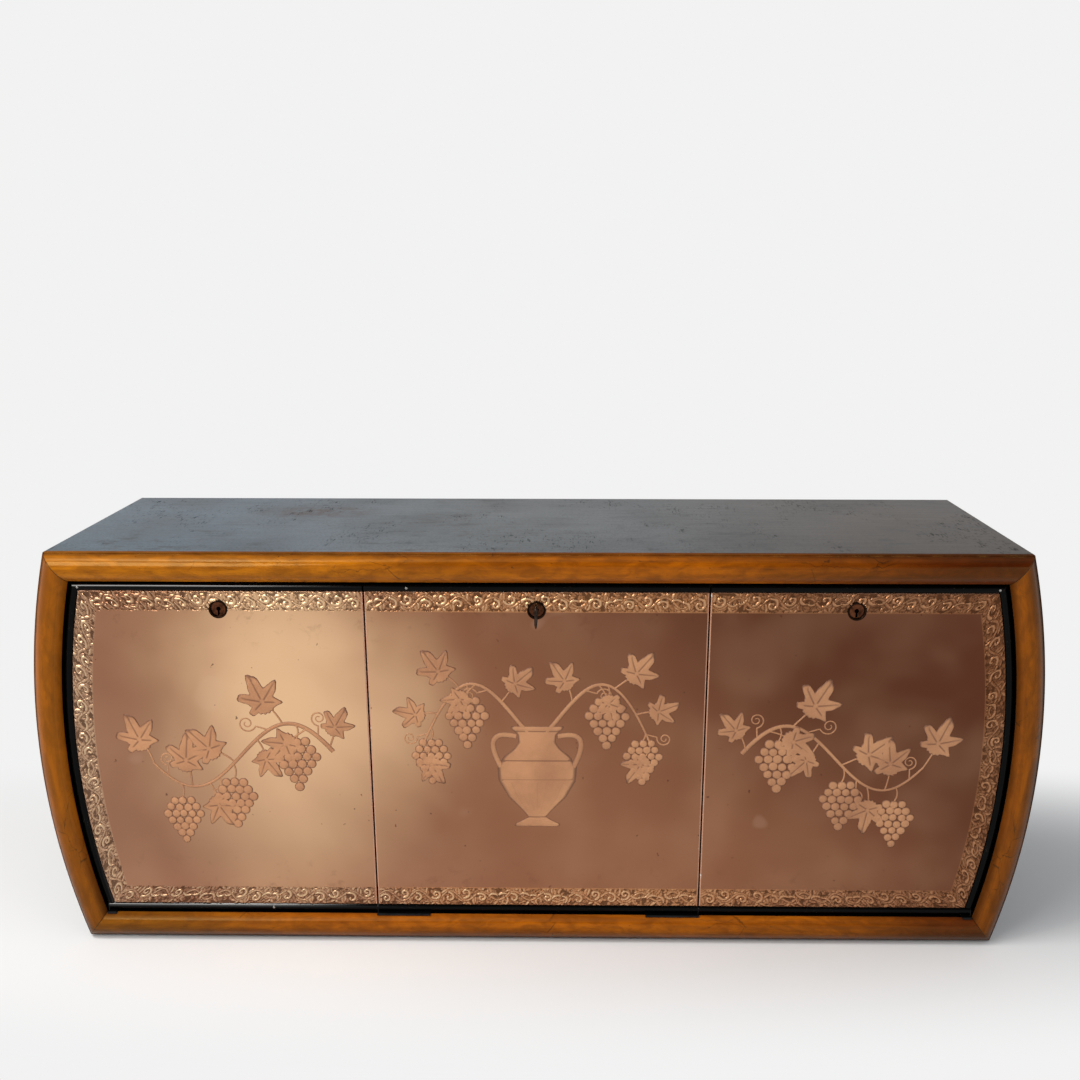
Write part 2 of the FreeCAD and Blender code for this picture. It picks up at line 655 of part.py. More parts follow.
def all_nodes():
    """Every node of the cabinet by name."""
    nodes = case_boards()
    nodes["back_panel"] = contour(BOARD + GLUE_GAP, BACK_PANEL_Y, CASE_BACK)
    nodes["left_partition"] = partition(-JOINT_X)
    nodes["right_partition"] = partition(JOINT_X)
    frame_names = {"top": "top_rail", "bottom": "bottom_rail", "left": "left_stile", "right": "right_stile"}
    for edge, name in frame_names.items():
        nodes[name] = run(frame_section, edge)
    nodes["left_outer_bracket"] = bracket(-OUTER_UPRIGHT_X, 1, OUTER_FOOT_LENGTH)
    nodes["left_joint_bracket"] = bracket(-JOINT_X, 1, JOINT_FOOT_LENGTH)
    nodes["right_joint_bracket"] = bracket(JOINT_X, -1, JOINT_FOOT_LENGTH)
    nodes["right_outer_bracket"] = bracket(OUTER_UPRIGHT_X, -1, OUTER_FOOT_LENGTH)
    nodes["pivot_pins"] = pivot_pins()
    for stay in STAYS:
        nodes[stay.name + "_stay"] = stay_bar(stay)
        nodes[stay.name + "_keeper"] = keeper(stay)
    side_face = bowed_x(BOARD, SHELF_PIN_Z)
    nodes["left_shelf"] = shelf(-WIDTH, -OUTER_FACE)
    nodes["centre_shelf"] = shelf(-INNER_FACE, INNER_FACE)
    nodes["right_shelf"] = shelf(OUTER_FACE, WIDTH)
    nodes["left_shelf_pins"] = shelf_pins([(-side_face, 1), (-OUTER_FACE, -1)])
    nodes["centre_shelf_pins"] = shelf_pins([(-INNER_FACE, 1), (INNER_FACE, -1)])
    nodes["right_shelf_pins"] = shelf_pins([(OUTER_FACE, 1), (side_face, -1)])
    for flap in FLAPS:
        nodes.update(flap_nodes(flap))
    nodes["key"] = key()
    return nodes


os.makedirs("parts", exist_ok=True)
for node_name, node_shape in all_nodes().items():
    node_shape.exportStep("parts/" + node_name + ".step")
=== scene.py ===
import math
import random

import bmesh
import bpy
import numpy as np
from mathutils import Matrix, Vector

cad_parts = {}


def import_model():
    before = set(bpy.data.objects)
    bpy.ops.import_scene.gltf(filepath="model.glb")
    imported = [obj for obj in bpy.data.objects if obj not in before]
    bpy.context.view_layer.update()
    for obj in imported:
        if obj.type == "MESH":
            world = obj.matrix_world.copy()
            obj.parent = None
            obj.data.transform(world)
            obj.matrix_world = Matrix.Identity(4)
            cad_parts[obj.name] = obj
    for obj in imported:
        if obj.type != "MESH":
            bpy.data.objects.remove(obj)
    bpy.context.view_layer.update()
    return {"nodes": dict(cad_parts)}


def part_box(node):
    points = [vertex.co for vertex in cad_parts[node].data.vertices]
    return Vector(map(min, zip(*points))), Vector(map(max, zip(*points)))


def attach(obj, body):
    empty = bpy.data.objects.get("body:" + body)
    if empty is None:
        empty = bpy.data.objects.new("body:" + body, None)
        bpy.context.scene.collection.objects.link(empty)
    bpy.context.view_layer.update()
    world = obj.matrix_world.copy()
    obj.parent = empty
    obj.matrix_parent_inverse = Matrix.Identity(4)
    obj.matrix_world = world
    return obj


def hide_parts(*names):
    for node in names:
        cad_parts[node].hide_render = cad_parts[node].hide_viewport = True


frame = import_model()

# Bar cabinet with bowed sides and three mirrored fall flaps. Metres; X right, Y back, Z up.

# Contour of the front, as the solids have it
WIDTH, HEIGHT, BOW = 1.5, 0.62, 0.0425
MID_Z = HEIGHT / 2
ARC_RADIUS = (MID_Z ** 2 + BOW ** 2) / (2 * BOW)
ARC_X = WIDTH / 2 - ARC_RADIUS
BOARD = 0.018
FRAME_FACE = 0.042
FLAP_INSET = 0.045
BEAD_RADIUS = 0.006
PANE_INSET = 0.0572
JOINT_X, JOINT_HALF = 0.25, 0.00125
RELIEF_X, RELIEF_TOP = 0.67165, 0.0575
KEY_Z = 0.536
SIDE_LOCK_X = 0.46203

# Depths
CASE_FRONT, CASE_BACK = -0.195, 0.195
PANEL_BACK, PANEL_FRONT = -0.198, -0.214
PANE_FRONT = -0.219
BEAD_Y = PANEL_FRONT - 0.001
CROWN_Y, ARRIS_Y, QUIRK_Y, FILLET_Y = -0.235, -0.222, -0.221, -0.219
LIP_BACK = -0.210
LOCK_BACK = -0.184
BACK_SUNK = 0.0006

# Small roundings and grooves
FRAME_SOFT, BOARD_SOFT, BACK_SOFT = 0.0006, 0.0009, 0.0008
QUIRK = 0.0025
MITRE_GROOVE = 0.0006

# Distance round the frame's section to the middle of its crown
CROWN_RUN = 0.0535

# Chipped border of the panes
BAND = 0.030
BAND_ROWS = 30
BAND_PITCH = 0.001
BAND_DEPTH = 0.0018
BAND_LEVEL = 0.5
SCROLL_PITCH = 0.0245
CUT_OUTLINE = 0.0008
CHAMFER = 0.0016
HOLE_RADIUS = 0.013
RELIEF_SUNK = 0.0002

FLAPS = {"left": -1, "centre": 0, "right": 1}
LOCK_X = {"left": -SIDE_LOCK_X, "centre": 0.0, "right": SIDE_LOCK_X}
STAYS = {"left": "left_flap", "centre_left": "centre_flap", "centre_right": "centre_flap",
         "right": "right_flap"}
PIN_PLACES = {"left": ((-0.663, "top"), (-0.413, "bottom")), "centre": ((-0.187, "top"),),
              "right": ((0.663, "top"),)}

# A reddish rub on the top
RUB_PLACE = (-0.368, 0.074, 0.62)

BACKGROUND = (0.887, 0.887, 0.887, 1.0)
CEILING = (0.16, 0.16, 0.16, 1.0)


# Contour

def bowed_x(inset, z):
    """Half width of the contour drawn in by inset, at height z."""
    return ARC_X + math.sqrt((ARC_RADIUS - inset) ** 2 - (z - MID_Z) ** 2)


def mitre_x(inset):
    """Half width of the straight mitre line at a distance below the top or above the foot."""
    outer, inner = bowed_x(0, HEIGHT), bowed_x(FRAME_FACE, HEIGHT - FRAME_FACE)
    return outer + (inner - outer) * inset / FRAME_FACE


def mitre_z(inset):
    """Height above the middle where a bowed line drawn in by inset meets the mitre line."""
    low, high = -0.05, 0.2
    for _ in range(50):
        k = (low + high) / 2
        if math.hypot(mitre_x(k) - ARC_X, MID_Z - k) > ARC_RADIUS - inset:
            low = k
        else:
            high = k
    return MID_Z - low


def edge_point(edge, inset, t, low="mitre", high="mitre"):
    """Point (x, z) at share t along an edge of the contour; low and high are where it ends."""
    if edge in ("top", "bottom"):
        x0 = -mitre_x(inset) if low == "mitre" else low
        x1 = mitre_x(inset) if high == "mitre" else high
        return x0 + (x1 - x0) * t, (HEIGHT - inset if edge == "top" else inset)
    radius = ARC_RADIUS - inset
    a0 = math.asin((-mitre_z(inset) if low == "mitre" else low - MID_Z) / radius)
    a1 = math.asin((mitre_z(inset) if high == "mitre" else high - MID_Z) / radius)
    angle = a0 + (a1 - a0) * t
    side = 1 if edge == "right" else -1
    return side * (ARC_X + radius * math.cos(angle)), MID_Z + radius * math.sin(angle)


# Mesh making

def add_object(name, data):
    obj = bpy.data.objects.new(name, data)
    bpy.context.scene.collection.objects.link(obj)
    return obj


def piece(name, bm, body, materials, sharp=None, replaced=()):
    """Turns a bmesh into a piece that rides on a body."""
    bmesh.ops.recalc_face_normals(bm, faces=bm.faces)
    mesh = bpy.data.meshes.new(name)
    bm.to_mesh(mesh)
    bm.free()
    for material in materials:
        mesh.materials.append(material)
    if sharp is not None:
        mesh.set_sharp_from_angle(angle=math.radians(sharp))
    obj = add_object(name, mesh)
    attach(obj, body)
    if replaced:
        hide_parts(*replaced)


def skin(bm, rows, around=False, smooth=True):
    """Faces between rows of vertices; around joins the end of each row to its start."""
    for a, b in zip(rows, rows[1:]):
        for i in range(len(a) - (not around)):
            k = (i + 1) % len(a)
            bm.faces.new((a[i], a[k], b[k], b[i])).smooth = smooth


def flat_face(bm, verts):
    """Face with sharp edges."""
    for edge in bm.faces.new(verts).edges:
        edge.smooth = False


def circle(count):
    """Angles of a full turn."""
    return np.linspace(0, 2 * math.pi, count, endpoint=False)


def weld(bm, reach):
    bmesh.ops.remove_doubles(bm, verts=bm.verts, dist=reach)


def bezier(a, b, c, count):
    """Points of a curve from a towards b to c."""
    a, b, c = (np.array(p, float) for p in (a, b, c))
    return [tuple((1 - t) ** 2 * a + 2 * t * (1 - t) * b + t * t * c) for t in np.linspace(0, 1, count)]


def arc_through(a, b, c, count):
    """Points of the circular arc through three points in a plane."""
    a, b, c = (complex(*p) for p in (a, b, c))
    ratio = (c - a) / (b - a)
    centre = a + (b - a) * (ratio - abs(ratio) ** 2) / (2j * ratio.imag)
    angles = np.unwrap(np.angle([a - centre, b - centre, c - centre]))
    arc = centre + abs(a - centre) * np.exp(1j * np.linspace(angles[0], angles[2], count))
    return list(zip(arc.real, arc.imag))


def sweep(edge, loop, kinds, count, low="mitre", high="mitre", groove=0.0):
    """Sweeps a closed loop of (inset, y) along an edge; kinds gives each side's material number.

    A groove sinks both ends a little and marks them as seams."""
    bm = bmesh.new()
    uv = bm.loops.layers.uv.verify()
    seam = bm.verts.layers.float.new("seam")
    run = [0.0]
    for (i0, y0), (i1, y1) in zip(loop, loop[1:] + loop[:1]):
        run.append(run[-1] + math.hypot(i1 - i0, y1 - y0))
    length = math.dist(edge_point(edge, 0.02, 0, low, high), edge_point(edge, 0.02, 1, low, high))
    steps = list(np.linspace(0, 1, count + 1))
    if groove:
        near = 2.2 * groove / length
        steps = [0, near, 1.6 * near] + steps[1:-1] + [1 - 1.6 * near, 1 - near, 1]
    rings = []
    for t in steps:
        ending = groove if t in (0, 1) else 0.0
        ring = []
        for inset, y in loop:
            x, z = edge_point(edge, inset, t, low, high)
            vert = bm.verts.new((x, min(y + ending, CASE_FRONT) if groove else y, z))
            vert[seam] = 1.0 if ending else 0.0
            ring.append(vert)
        rings.append(ring)
    for j in range(len(steps) - 1):
        u0, u1 = length * steps[j], length * steps[j + 1]
        for i in range(len(loop)):
            k = (i + 1) % len(loop)
            face = bm.faces.new((rings[j][i], rings[j][k], rings[j + 1][k], rings[j + 1][i]))
            face.material_index = kinds[i]
            face.smooth = True
            places = ((u0, run[i]), (u0, run[i + 1]), (u1, run[i + 1]), (u1, run[i]))
            for corner, place in zip(face.loops, places):
                corner[uv].uv = place
    for ring in (rings[0], rings[-1]):
        bm.faces.new(ring)
    return bm


# Shader building

def srgb(r, g, b):
    """Colour written as 0-255 screen values."""
    shares = (r / 255, g / 255, b / 255)
    return tuple((c / 12.92 if c <= 0.04045 else ((c + 0.055) / 1.055) ** 2.4) for c in shares) + (1.0,)


def scaled(colour, share):
    return tuple(min(1.0, c * share) for c in colour[:3]) + (1.0,)


class Value:
    """Output of a node that can be reckoned with: each +, - and * adds a Math node."""

    def __init__(self, nodes, socket):
        self.nodes, self.socket = nodes, socket

    def __add__(self, other):
        return self.nodes.math("ADD", self, other)

    def __sub__(self, other):
        return self.nodes.math("SUBTRACT", self, other)

    def __rsub__(self, other):
        return self.nodes.math("SUBTRACT", other, self)

    def __mul__(self, other):
        return self.nodes.math("MULTIPLY", self, other)


class Nodes:
    """Node tree with a short word for each node that is used here."""

    def __init__(self, tree, material=None):
        self.tree, self.material = tree, material

    def link(self, value, socket):
        """Sets an input, or links it to another node's output."""
        if isinstance(value, Value):
            self.tree.links.new(value.socket, socket)
        else:
            socket.default_value = value

    def node(self, kind, values=None, **settings):
        """Adds a node; values fill its inputs by name or number."""
        node = self.tree.nodes.new("ShaderNode" + kind)
        for key, value in settings.items():
            setattr(node, key, value)
        for key, value in (values or {}).items():
            self.link(value, node.inputs[key])
        return node

    def put(self, kind, values=None, output=0, **settings):
        return Value(self, self.node(kind, values, **settings).outputs[output])

    def outputs(self, node):
        return {socket.name: Value(self, socket) for socket in node.outputs}

    def math(self, operation, a, b=0.0, clamp=False):
        return self.put("Math", {0: a, 1: b}, operation=operation, use_clamp=clamp)

    def vector(self, operation, a, b=(0.0, 0.0, 0.0), output=0):
        return self.put("VectorMath", {0: a, 1: b}, output, operation=operation)

    def parts(self, vector):
        return [Value(self, socket) for socket in self.node("SeparateXYZ", {0: vector}).outputs]

    def spot(self):
        return self.put("TexCoord", output="Object")

    def facing_up(self):
        return self.parts(self.put("NewGeometry", output="Normal"))[2]

    def mark(self, name):
        return self.put("Attribute", output="Fac", attribute_name=name)

    def mix(self, factor, a, b, blend="MIX"):
        return self.put("Mix", {"Factor": factor, 6: a, 7: b}, 2, data_type="RGBA", blend_type=blend)

    def coats(self, colour, *coats):
        """Colour under coats of (mask, screen colour), each over the last."""
        for mask, shade in coats:
            colour = self.mix(mask, colour, srgb(*shade))
        return colour

    def filters(self, colour, *filters):
        """Colour multiplied by factors where their masks are."""
        for mask, factors in filters:
            colour = self.mix(mask, colour, factors + (1.0,), "MULTIPLY")
        return colour

    def step(self, value, low, high, to_low=0.0, to_high=1.0):
        """Smooth step of a value between two limits."""
        values = {"Value": value, "From Min": low, "From Max": high, "To Min": to_low, "To Max": to_high}
        return self.put("MapRange", values, interpolation_type="SMOOTHSTEP")

    def noise(self, vector, scale, detail=4.0, rough=0.55, distortion=0.0):
        return self.put("TexNoise", {"Vector": vector, "Scale": scale, "Detail": detail, "Roughness": rough,
                                     "Distortion": distortion}, "Fac")

    def stretch(self, vector, scale, turn=0.0):
        return self.put("Mapping", {"Vector": vector, "Rotation": (0.0, 0.0, turn), "Scale": scale})

    def blots(self, vector, scale, low, high, *noise):
        """Patches of noise with soft edges; a scale of three numbers stretches them."""
        if isinstance(scale, tuple):
            vector, scale = self.stretch(vector, scale), 1.0
        return self.step(self.noise(vector, scale, *noise), low, high)

    def bump(self, height, distance, strength):
        return self.put("Bump", {"Height": height, "Distance": distance, "Strength": strength})

    def use(self, shared, **values):
        """Places a shared group; returns its outputs by name."""
        return self.outputs(self.node("Group", values, node_tree=shared))

    def seen(self):
        """One on rays from the camera, off gloss and through glass."""
        path = self.outputs(self.node("LightPath"))
        shown = self.math("MAXIMUM", path["Is Camera Ray"], path["Is Glossy Ray"])
        return self.math("MAXIMUM", shown, path["Is Transmission Ray"])

    def show(self, surface, kind="OutputMaterial"):
        self.link(surface, self.node(kind).inputs["Surface"])

    def surface(self, colour, rough, **values):
        """Gives the material a Principled surface and returns the material."""
        values = {key.replace("_", " "): value for key, value in values.items()}
        self.show(self.put("BsdfPrincipled", {"Base Color": colour, "Roughness": rough, **values}))
        return self.material


def new_material(name):
    """New material with an empty tree."""
    material = bpy.data.materials.new(name)
    material.use_nodes = True
    material.node_tree.nodes.clear()
    return Nodes(material.node_tree, material)


def group(name, inputs, outputs):
    """New shader group; inputs map names to start values, or to None for a vector."""
    tree = bpy.data.node_groups.new(name, "ShaderNodeTree")
    for label, value in inputs.items():
        kind = "NodeSocketVector" if value is None else "NodeSocketFloat"
        socket = tree.interface.new_socket(label, in_out="INPUT", socket_type=kind)
        if value is not None:
            socket.default_value = value
    for label in outputs:
        tree.interface.new_socket(label, in_out="OUTPUT", socket_type="NodeSocketFloat")
    nodes = Nodes(tree)
    return nodes, nodes.outputs(tree.nodes.new("NodeGroupInput")), tree.nodes.new("NodeGroupOutput").inputs


def make_grain():
    """Wood grain along the X of its vector: streaks, pores and broad clouds."""
    n, have, give = group("wood_grain", {"Vector": None, "Length": 3.0, "Fineness": 120.0},
                          ("Streaks", "Pores", "Clouds"))
    scale = n.put("CombineXYZ", {0: have["Length"], 1: have["Fineness"], 2: have["Fineness"]})
    lean = n.vector("MULTIPLY", have["Vector"], scale)
    fine = n.vector("MULTIPLY", lean, (6.0, 5.0, 5.0))
    n.link(n.blots(lean, 1.0, 0.3, 0.7, 5.0, 0.55, 0.15), give["Streaks"])
    n.link(n.blots(fine, 1.0, 0.62, 0.74, 2.0), give["Pores"])
    n.link(n.blots(have["Vector"], 7.0, 0.32, 0.7, 3.0), give["Clouds"])
    return n.tree


def make_worn_edges():
    """Mask of the worn arrises, broken up by noise."""
    n, have, give = group("worn_edges", {"Width": 0.0015, "Breakup": 60.0, "Amount": 0.5}, ("Mask",))
    soft = n.put("Bevel", {"Radius": have["Width"]}, samples=4)
    turn = n.vector("DOT_PRODUCT", n.put("NewGeometry", output="Normal"), soft, "Value")
    broken = n.blots(n.spot(), have["Breakup"], 0.42, 0.62, 4.0)
    n.link(n.math("MULTIPLY", n.step(turn, 0.995, 0.8) * broken, have["Amount"], True), give["Mask"])
    return n.tree


def make_rubs():
    """Cloudy rubs and small specks of dust."""
    n, have, give = group("rubs_and_dust", {"Scale": 8.0, "Rub": 0.5, "Dust": 0.3}, ("Rubs", "Specks"))
    spot = n.spot()
    clouds = n.blots(spot, have["Scale"], 0.48, 0.75, 6.0, 0.62, 0.6)
    specks = n.blots(spot, 900.0, 0.7, 0.78, 1.0) * n.blots(spot, 25.0, 0.45, 0.65, 3.0)
    n.link(n.math("MULTIPLY", clouds, have["Rub"], True), give["Rubs"])
    n.link(n.math("MULTIPLY", specks, have["Dust"], True), give["Specks"])
    return n.tree


def make_scratches():
    """Hairline scratches in two leanings."""
    n, have, give = group("hairline_scratches", {"Vector": None, "Amount": 0.5}, ("Mask",))
    lines = []
    for turn, scale in ((0.5, (9.0, 420.0, 9.0)), (-0.25, (6.0, 330.0, 6.0))):
        lines.append(n.step(n.noise(n.stretch(have["Vector"], scale, turn), 1.0, 1.0), 0.735, 0.765))
    n.link(n.math("MULTIPLY", n.math("MAXIMUM", *lines), have["Amount"], True), give["Mask"])
    return n.tree


GRAIN = make_grain()
WORN = make_worn_edges()
RUBS = make_rubs()
SCRATCHES = make_scratches()


# Materials

def honey_lacquer(name, rail):
    """Amber lacquer on mottled wood, with dark mitre seams and painted shade towards the outer fillet, on the
    inner flank and along the foot.

    The rails are darker and redder at their right ends, and the stiles on the right and at the foot."""
    n = new_material(name)
    uv, spot = n.put("UVMap"), n.spot()
    grain = n.use(GRAIN, Vector=uv, Length=4.0, Fineness=75.0)
    rubs = n.use(RUBS, Scale=9.0, Rub=0.7, Dust=0.2)["Rubs"]
    worn = n.use(WORN, Width=0.0014, Breakup=45.0, Amount=0.55)["Mask"]
    scratch = n.use(SCRATCHES, Vector=uv, Amount=0.5)["Mask"]
    across = n.parts(uv)[1]
    place = across + n.noise(spot, 30.0, 3.0) * 0.008
    x, _, z = n.parts(spot)
    mottle = n.blots(uv, (26.0, 60.0, 1.0), 0.35, 0.68, 5.0, 0.65, 0.7)
    colour = n.mix(grain["Streaks"], srgb(136, 67, 2), srgb(174, 92, 5))
    colour = n.coats(colour, (mottle * 0.58, (98, 44, 3)), (grain["Pores"] * 0.35, (70, 30, 6)))
    # outer: painted shade on the outer flank of the rounded moulding.
    outer = n.step(place, CROWN_RUN + 0.004, CROWN_RUN - 0.020)
    if rail:
        high = n.step(z, 0.2, 0.4)
        below = 1.0 - high
        red_end = n.step(x, 0.20, 0.64) * high + n.step(x, 0.40, 0.66) * below
        colour = n.filters(colour, (n.step(x, 0.15, -0.45) * high, (1.18, 1.48, 1.2)),
                           (n.step(x, -0.30, -0.62) * below, (0.60, 0.72, 1.0)), (red_end, (0.27, 0.15, 0.2)))
        outer = outer * 0.2
        # rim: dark line by the outer fillet, partly an edge line, partly painted shade.
        rim = n.step(place, 0.038, 0.031) * 0.5
    else:
        right, low = n.step(x, -0.3, 0.3), n.step(z, 0.20, 0.03)
        right_or_low = n.math("MAXIMUM", right, low)
        colour = n.coats(colour, ((1.0 - right) * 0.4, (118, 70, 6)))
        colour = n.filters(colour, (right, (0.76, 0.74, 0.5)), (low, (0.72, 0.68, 0.5)))
        # Painted shade on the inner flank where the stile is to the right or low.
        colour = n.coats(colour, (n.step(place, 0.068, 0.082) * right_or_low * 0.75, (62, 28, 3)))
        outer = outer * right_or_low * 0.85
        # rim: dark line by the outer fillet, partly an edge line, partly painted shade.
        rim = n.step(place, 0.043, 0.034) * 0.7
    specks = n.blots(uv, (90.0, 200.0, 1.0), 0.70, 0.76, 2.0)
    wander = n.noise(n.stretch(uv, (60.0, 60.0, 1.0)), 1.0, 3.0) * 0.014
    cells = n.stretch(n.vector("ADD", uv, wander), (17.0, 44.0, 1.0))
    crack = n.put("TexVoronoi", {"Vector": cells, "Scale": 1.0}, "Distance", feature="DISTANCE_TO_EDGE")
    craze = n.step(crack, 0.016, 0.004) * n.blots(spot, 9.0, 0.54, 0.62, 3.0)
    # foot: painted shade along the lower edge of the frame; seam: dark mitre joints.
    foot, seam = n.step(z, 0.034, 0.002), n.step(n.mark("seam"), 0.15, 0.8)
    colour = n.coats(colour, (outer, (46, 15, 1)), (rim, (50, 20, 4)), (foot * 0.65, (52, 22, 4)),
                     (rubs * 0.6, (104, 48, 8)), (specks * 0.65, (48, 22, 8)), (worn, (196, 140, 70)),
                     (scratch * 0.5, (78, 38, 12)), (craze * 0.75, (50, 23, 6)), (seam * 0.85, (44, 20, 8)))
    flank = n.step(n.math("ABSOLUTE", across - CROWN_RUN), 0.010, 0.023)
    return n.surface(colour, rubs * 0.06 + flank * 0.8 + 0.13, Specular_IOR_Level=0.36,
                     Specular_Tint=(1.0, 0.74, 0.30, 1.0),
                     Normal=n.bump(grain["Streaks"] * 0.1 - scratch, 0.0001, 0.4))


def black_lacquer():
    """Black satin lacquer with fine streaks, crackle, wear and faint reddish rubs; the slate tone of its
    upward faces is painted reflection.
    """
    n = new_material("black_lacquer")
    spot = n.spot()
    x = n.parts(spot)[0]
    grain = n.use(GRAIN, Vector=spot, Length=9.0, Fineness=210.0)
    rubs = n.use(RUBS, Scale=5.0, Rub=0.9, Dust=0.35)
    worn = n.use(WORN, Width=0.002, Breakup=35.0, Amount=0.8)["Mask"]
    scratch = n.use(SCRATCHES, Vector=spot, Amount=0.5)["Mask"]
    cracks = n.math("MAXIMUM", n.blots(spot, (420.0, 55.0, 120.0), 0.56, 0.68, 2.0),
                    n.blots(spot, (110.0, 240.0, 300.0), 0.58, 0.70, 2.0))
    where = n.blots(n.stretch(spot, (1.0, 0.6, 1.0)), 8.0, 0.47, 0.62, 7.0, 0.72, 0.3)
    crackle = cracks * where * n.blots(spot, 60.0, 0.40, 0.60, 4.0)
    # Painted reflection: bluish and lighter to the left, browner to the right, on upward faces only; the
    # other faces stay dark.
    tone = n.mix(n.step(x, -0.6, 0.0), srgb(82, 96, 108), srgb(92, 97, 101))
    tone = n.mix(n.step(x, 0.0, 0.6), tone, srgb(75, 66, 59))
    tone = n.mix(n.step(n.facing_up(), 0.3, 0.8), srgb(40, 42, 44), tone)
    smudge = n.blots(spot, (20.0, 30.0, 24.0), 0.50, 0.68, 7.0, 0.7)
    smudge = smudge * n.blots(spot, 3.4, 0.44, 0.60, 3.0)
    grit = n.blots(spot, 260.0, 0.45, 0.7, 4.0, 0.6)
    red = n.blots(spot, 13.0, 0.56, 0.66, 5.0, 0.7) * rubs["Rubs"]
    away = n.stretch(n.vector("SUBTRACT", spot, RUB_PLACE), (0.6, 1.3, 1.0))
    patch = n.step(n.vector("LENGTH", away, output="Value"), 0.08, 0.02)
    patch = patch * n.blots(spot, 42.0, 0.42, 0.58, 5.0, 0.7)
    colour = n.coats(tone, (grain["Streaks"] * 0.08, (86, 92, 96)), (smudge * 0.8, (44, 47, 50)),
                     (grain["Clouds"] * 0.35, (32, 33, 33)), (grit * 0.45, (26, 27, 28)),
                     (n.math("MAXIMUM", red, patch) * 0.9, (58, 42, 40)), (crackle * 0.8, (14, 14, 14)),
                     (worn, (104, 74, 52)), (scratch * 0.3, (110, 114, 116)),
                     (rubs["Specks"], (140, 142, 142)))
    return n.surface(colour, grain["Streaks"] * 0.05 + crackle * 0.3 + 0.38, Specular_IOR_Level=0.12,
                     Normal=n.bump(grain["Streaks"] * 0.08 - crackle, 0.0002, 0.5))


def black_bead():
    """Black lacquer with a little dust and worn spots, dulled except on the upper side to the left."""
    n = new_material("black_bead")
    rubs = n.use(RUBS, Scale=20.0, Rub=0.5, Dust=0.5)
    worn = n.use(WORN, Width=0.001, Breakup=60.0, Amount=0.35)["Mask"]
    colour = n.mix(rubs["Rubs"], srgb(4, 4, 4), srgb(10, 9, 8))
    colour = n.coats(colour, (worn, (80, 58, 40)), (rubs["Specks"], (120, 112, 104)))
    polish = n.step(n.parts(n.spot())[0], -0.18, -0.50) * n.step(n.facing_up(), 0.05, 0.3)
    return n.surface(colour, rubs["Rubs"] * 0.15 + 0.1, Specular_IOR_Level=0.07, Coat_Weight=polish,
                     Coat_Roughness=0.06)


def maple(name, upright=False, tint=1.0):
    """Clear-lacquered maple with a broad figure and fine streaks, across or upright."""
    def tone(*shade):
        return tuple(c * tint for c in shade)

    n = new_material(name)
    spot = n.spot()
    if upright:
        x, y, z = n.parts(spot)
        spot = n.put("CombineXYZ", {0: z, 1: y, 2: x * 0.15})
    figure = n.use(GRAIN, Vector=spot, Length=1.6, Fineness=14.0)["Streaks"]
    grain = n.use(GRAIN, Vector=spot, Length=3.0, Fineness=190.0)
    rubs = n.use(RUBS, Scale=4.0, Rub=0.5, Dust=0.2)["Rubs"]
    worn = n.use(WORN, Width=0.001, Breakup=50.0, Amount=0.4)["Mask"]
    colour = n.mix(figure, srgb(*tone(204, 160, 108)), srgb(*tone(178, 128, 80)))
    colour = n.coats(colour, (grain["Streaks"] * 0.4, tone(156, 106, 62)),
                     (grain["Pores"] * 0.3, tone(116, 74, 42)), (rubs * 0.4, tone(150, 100, 56)),
                     (worn, (110, 74, 44)))
    return n.surface(colour, rubs * 0.15 + 0.36, Coat_Weight=0.15, Coat_Roughness=0.2,
                     Normal=n.bump(grain["Streaks"], 0.0002, 0.3))


def metal(name, base, dull, rough, tarnish, scale=60.0):
    """Worn metal: base colour, dull tarnish in clouds, bright worn edges, fine scratches."""
    n = new_material(name)
    base, dull = srgb(*base), srgb(*dull)
    spot = n.spot()
    worn = n.use(WORN, Width=0.0006, Breakup=220.0, Amount=0.8)["Mask"]
    scratch = n.use(SCRATCHES, Vector=spot, Amount=0.6)["Mask"]
    clouds = n.blots(spot, scale, 0.38, 0.7, 5.0, 0.62)
    pits = n.blots(spot, scale * 9, 0.66, 0.74, 2.0)
    colour = n.mix(clouds * tarnish, base, dull)
    colour = n.mix(pits * (0.5 * tarnish), colour, scaled(dull, 0.4))
    colour = n.mix(worn, colour, scaled(base, 1.7))
    return n.surface(colour, clouds * 0.2 + scratch * 0.15 + rough, Metallic=1.0,
                     Normal=n.bump(clouds, 0.0001, 0.3))


def silver_tone(n, spot):
    """Cloudy rose tint of the mirror with painted reflection: darker and browner to the right and upwards,
    with a painted golden window glow to the left.
    """
    x, _, z = n.parts(spot)
    clouds = n.noise(spot, 3.2, 3.0, 0.5, 0.3)
    waver = clouds - 0.5
    # Painted reflection: darker and browner to the right and upwards.
    reflection_drift = x + waver * -0.2 + (z - MID_Z) * 1.1
    # Painted golden glow of a window reflection to the left.
    off = n.vector("ADD", n.stretch(spot, (1.0, 0.0, 0.75)), (0.37, 0.0, -0.30))
    off = n.vector("LENGTH", off, output="Value") + waver * 0.28
    soft = n.blots(spot, 6.5, 0.4, 0.75, 2.0, 0.5, 0.2)
    colour = n.mix(n.step(reflection_drift, 0.70, -0.10), srgb(92, 51, 33), srgb(148, 98, 70))
    colour = n.coats(colour, (n.step(reflection_drift, -0.10, -0.70), (157, 111, 85)),
                     (n.step(off, 0.29, 0.0) * 0.9, (246, 202, 156)), (soft * 0.12, (216, 172, 134)))
    return colour, clouds


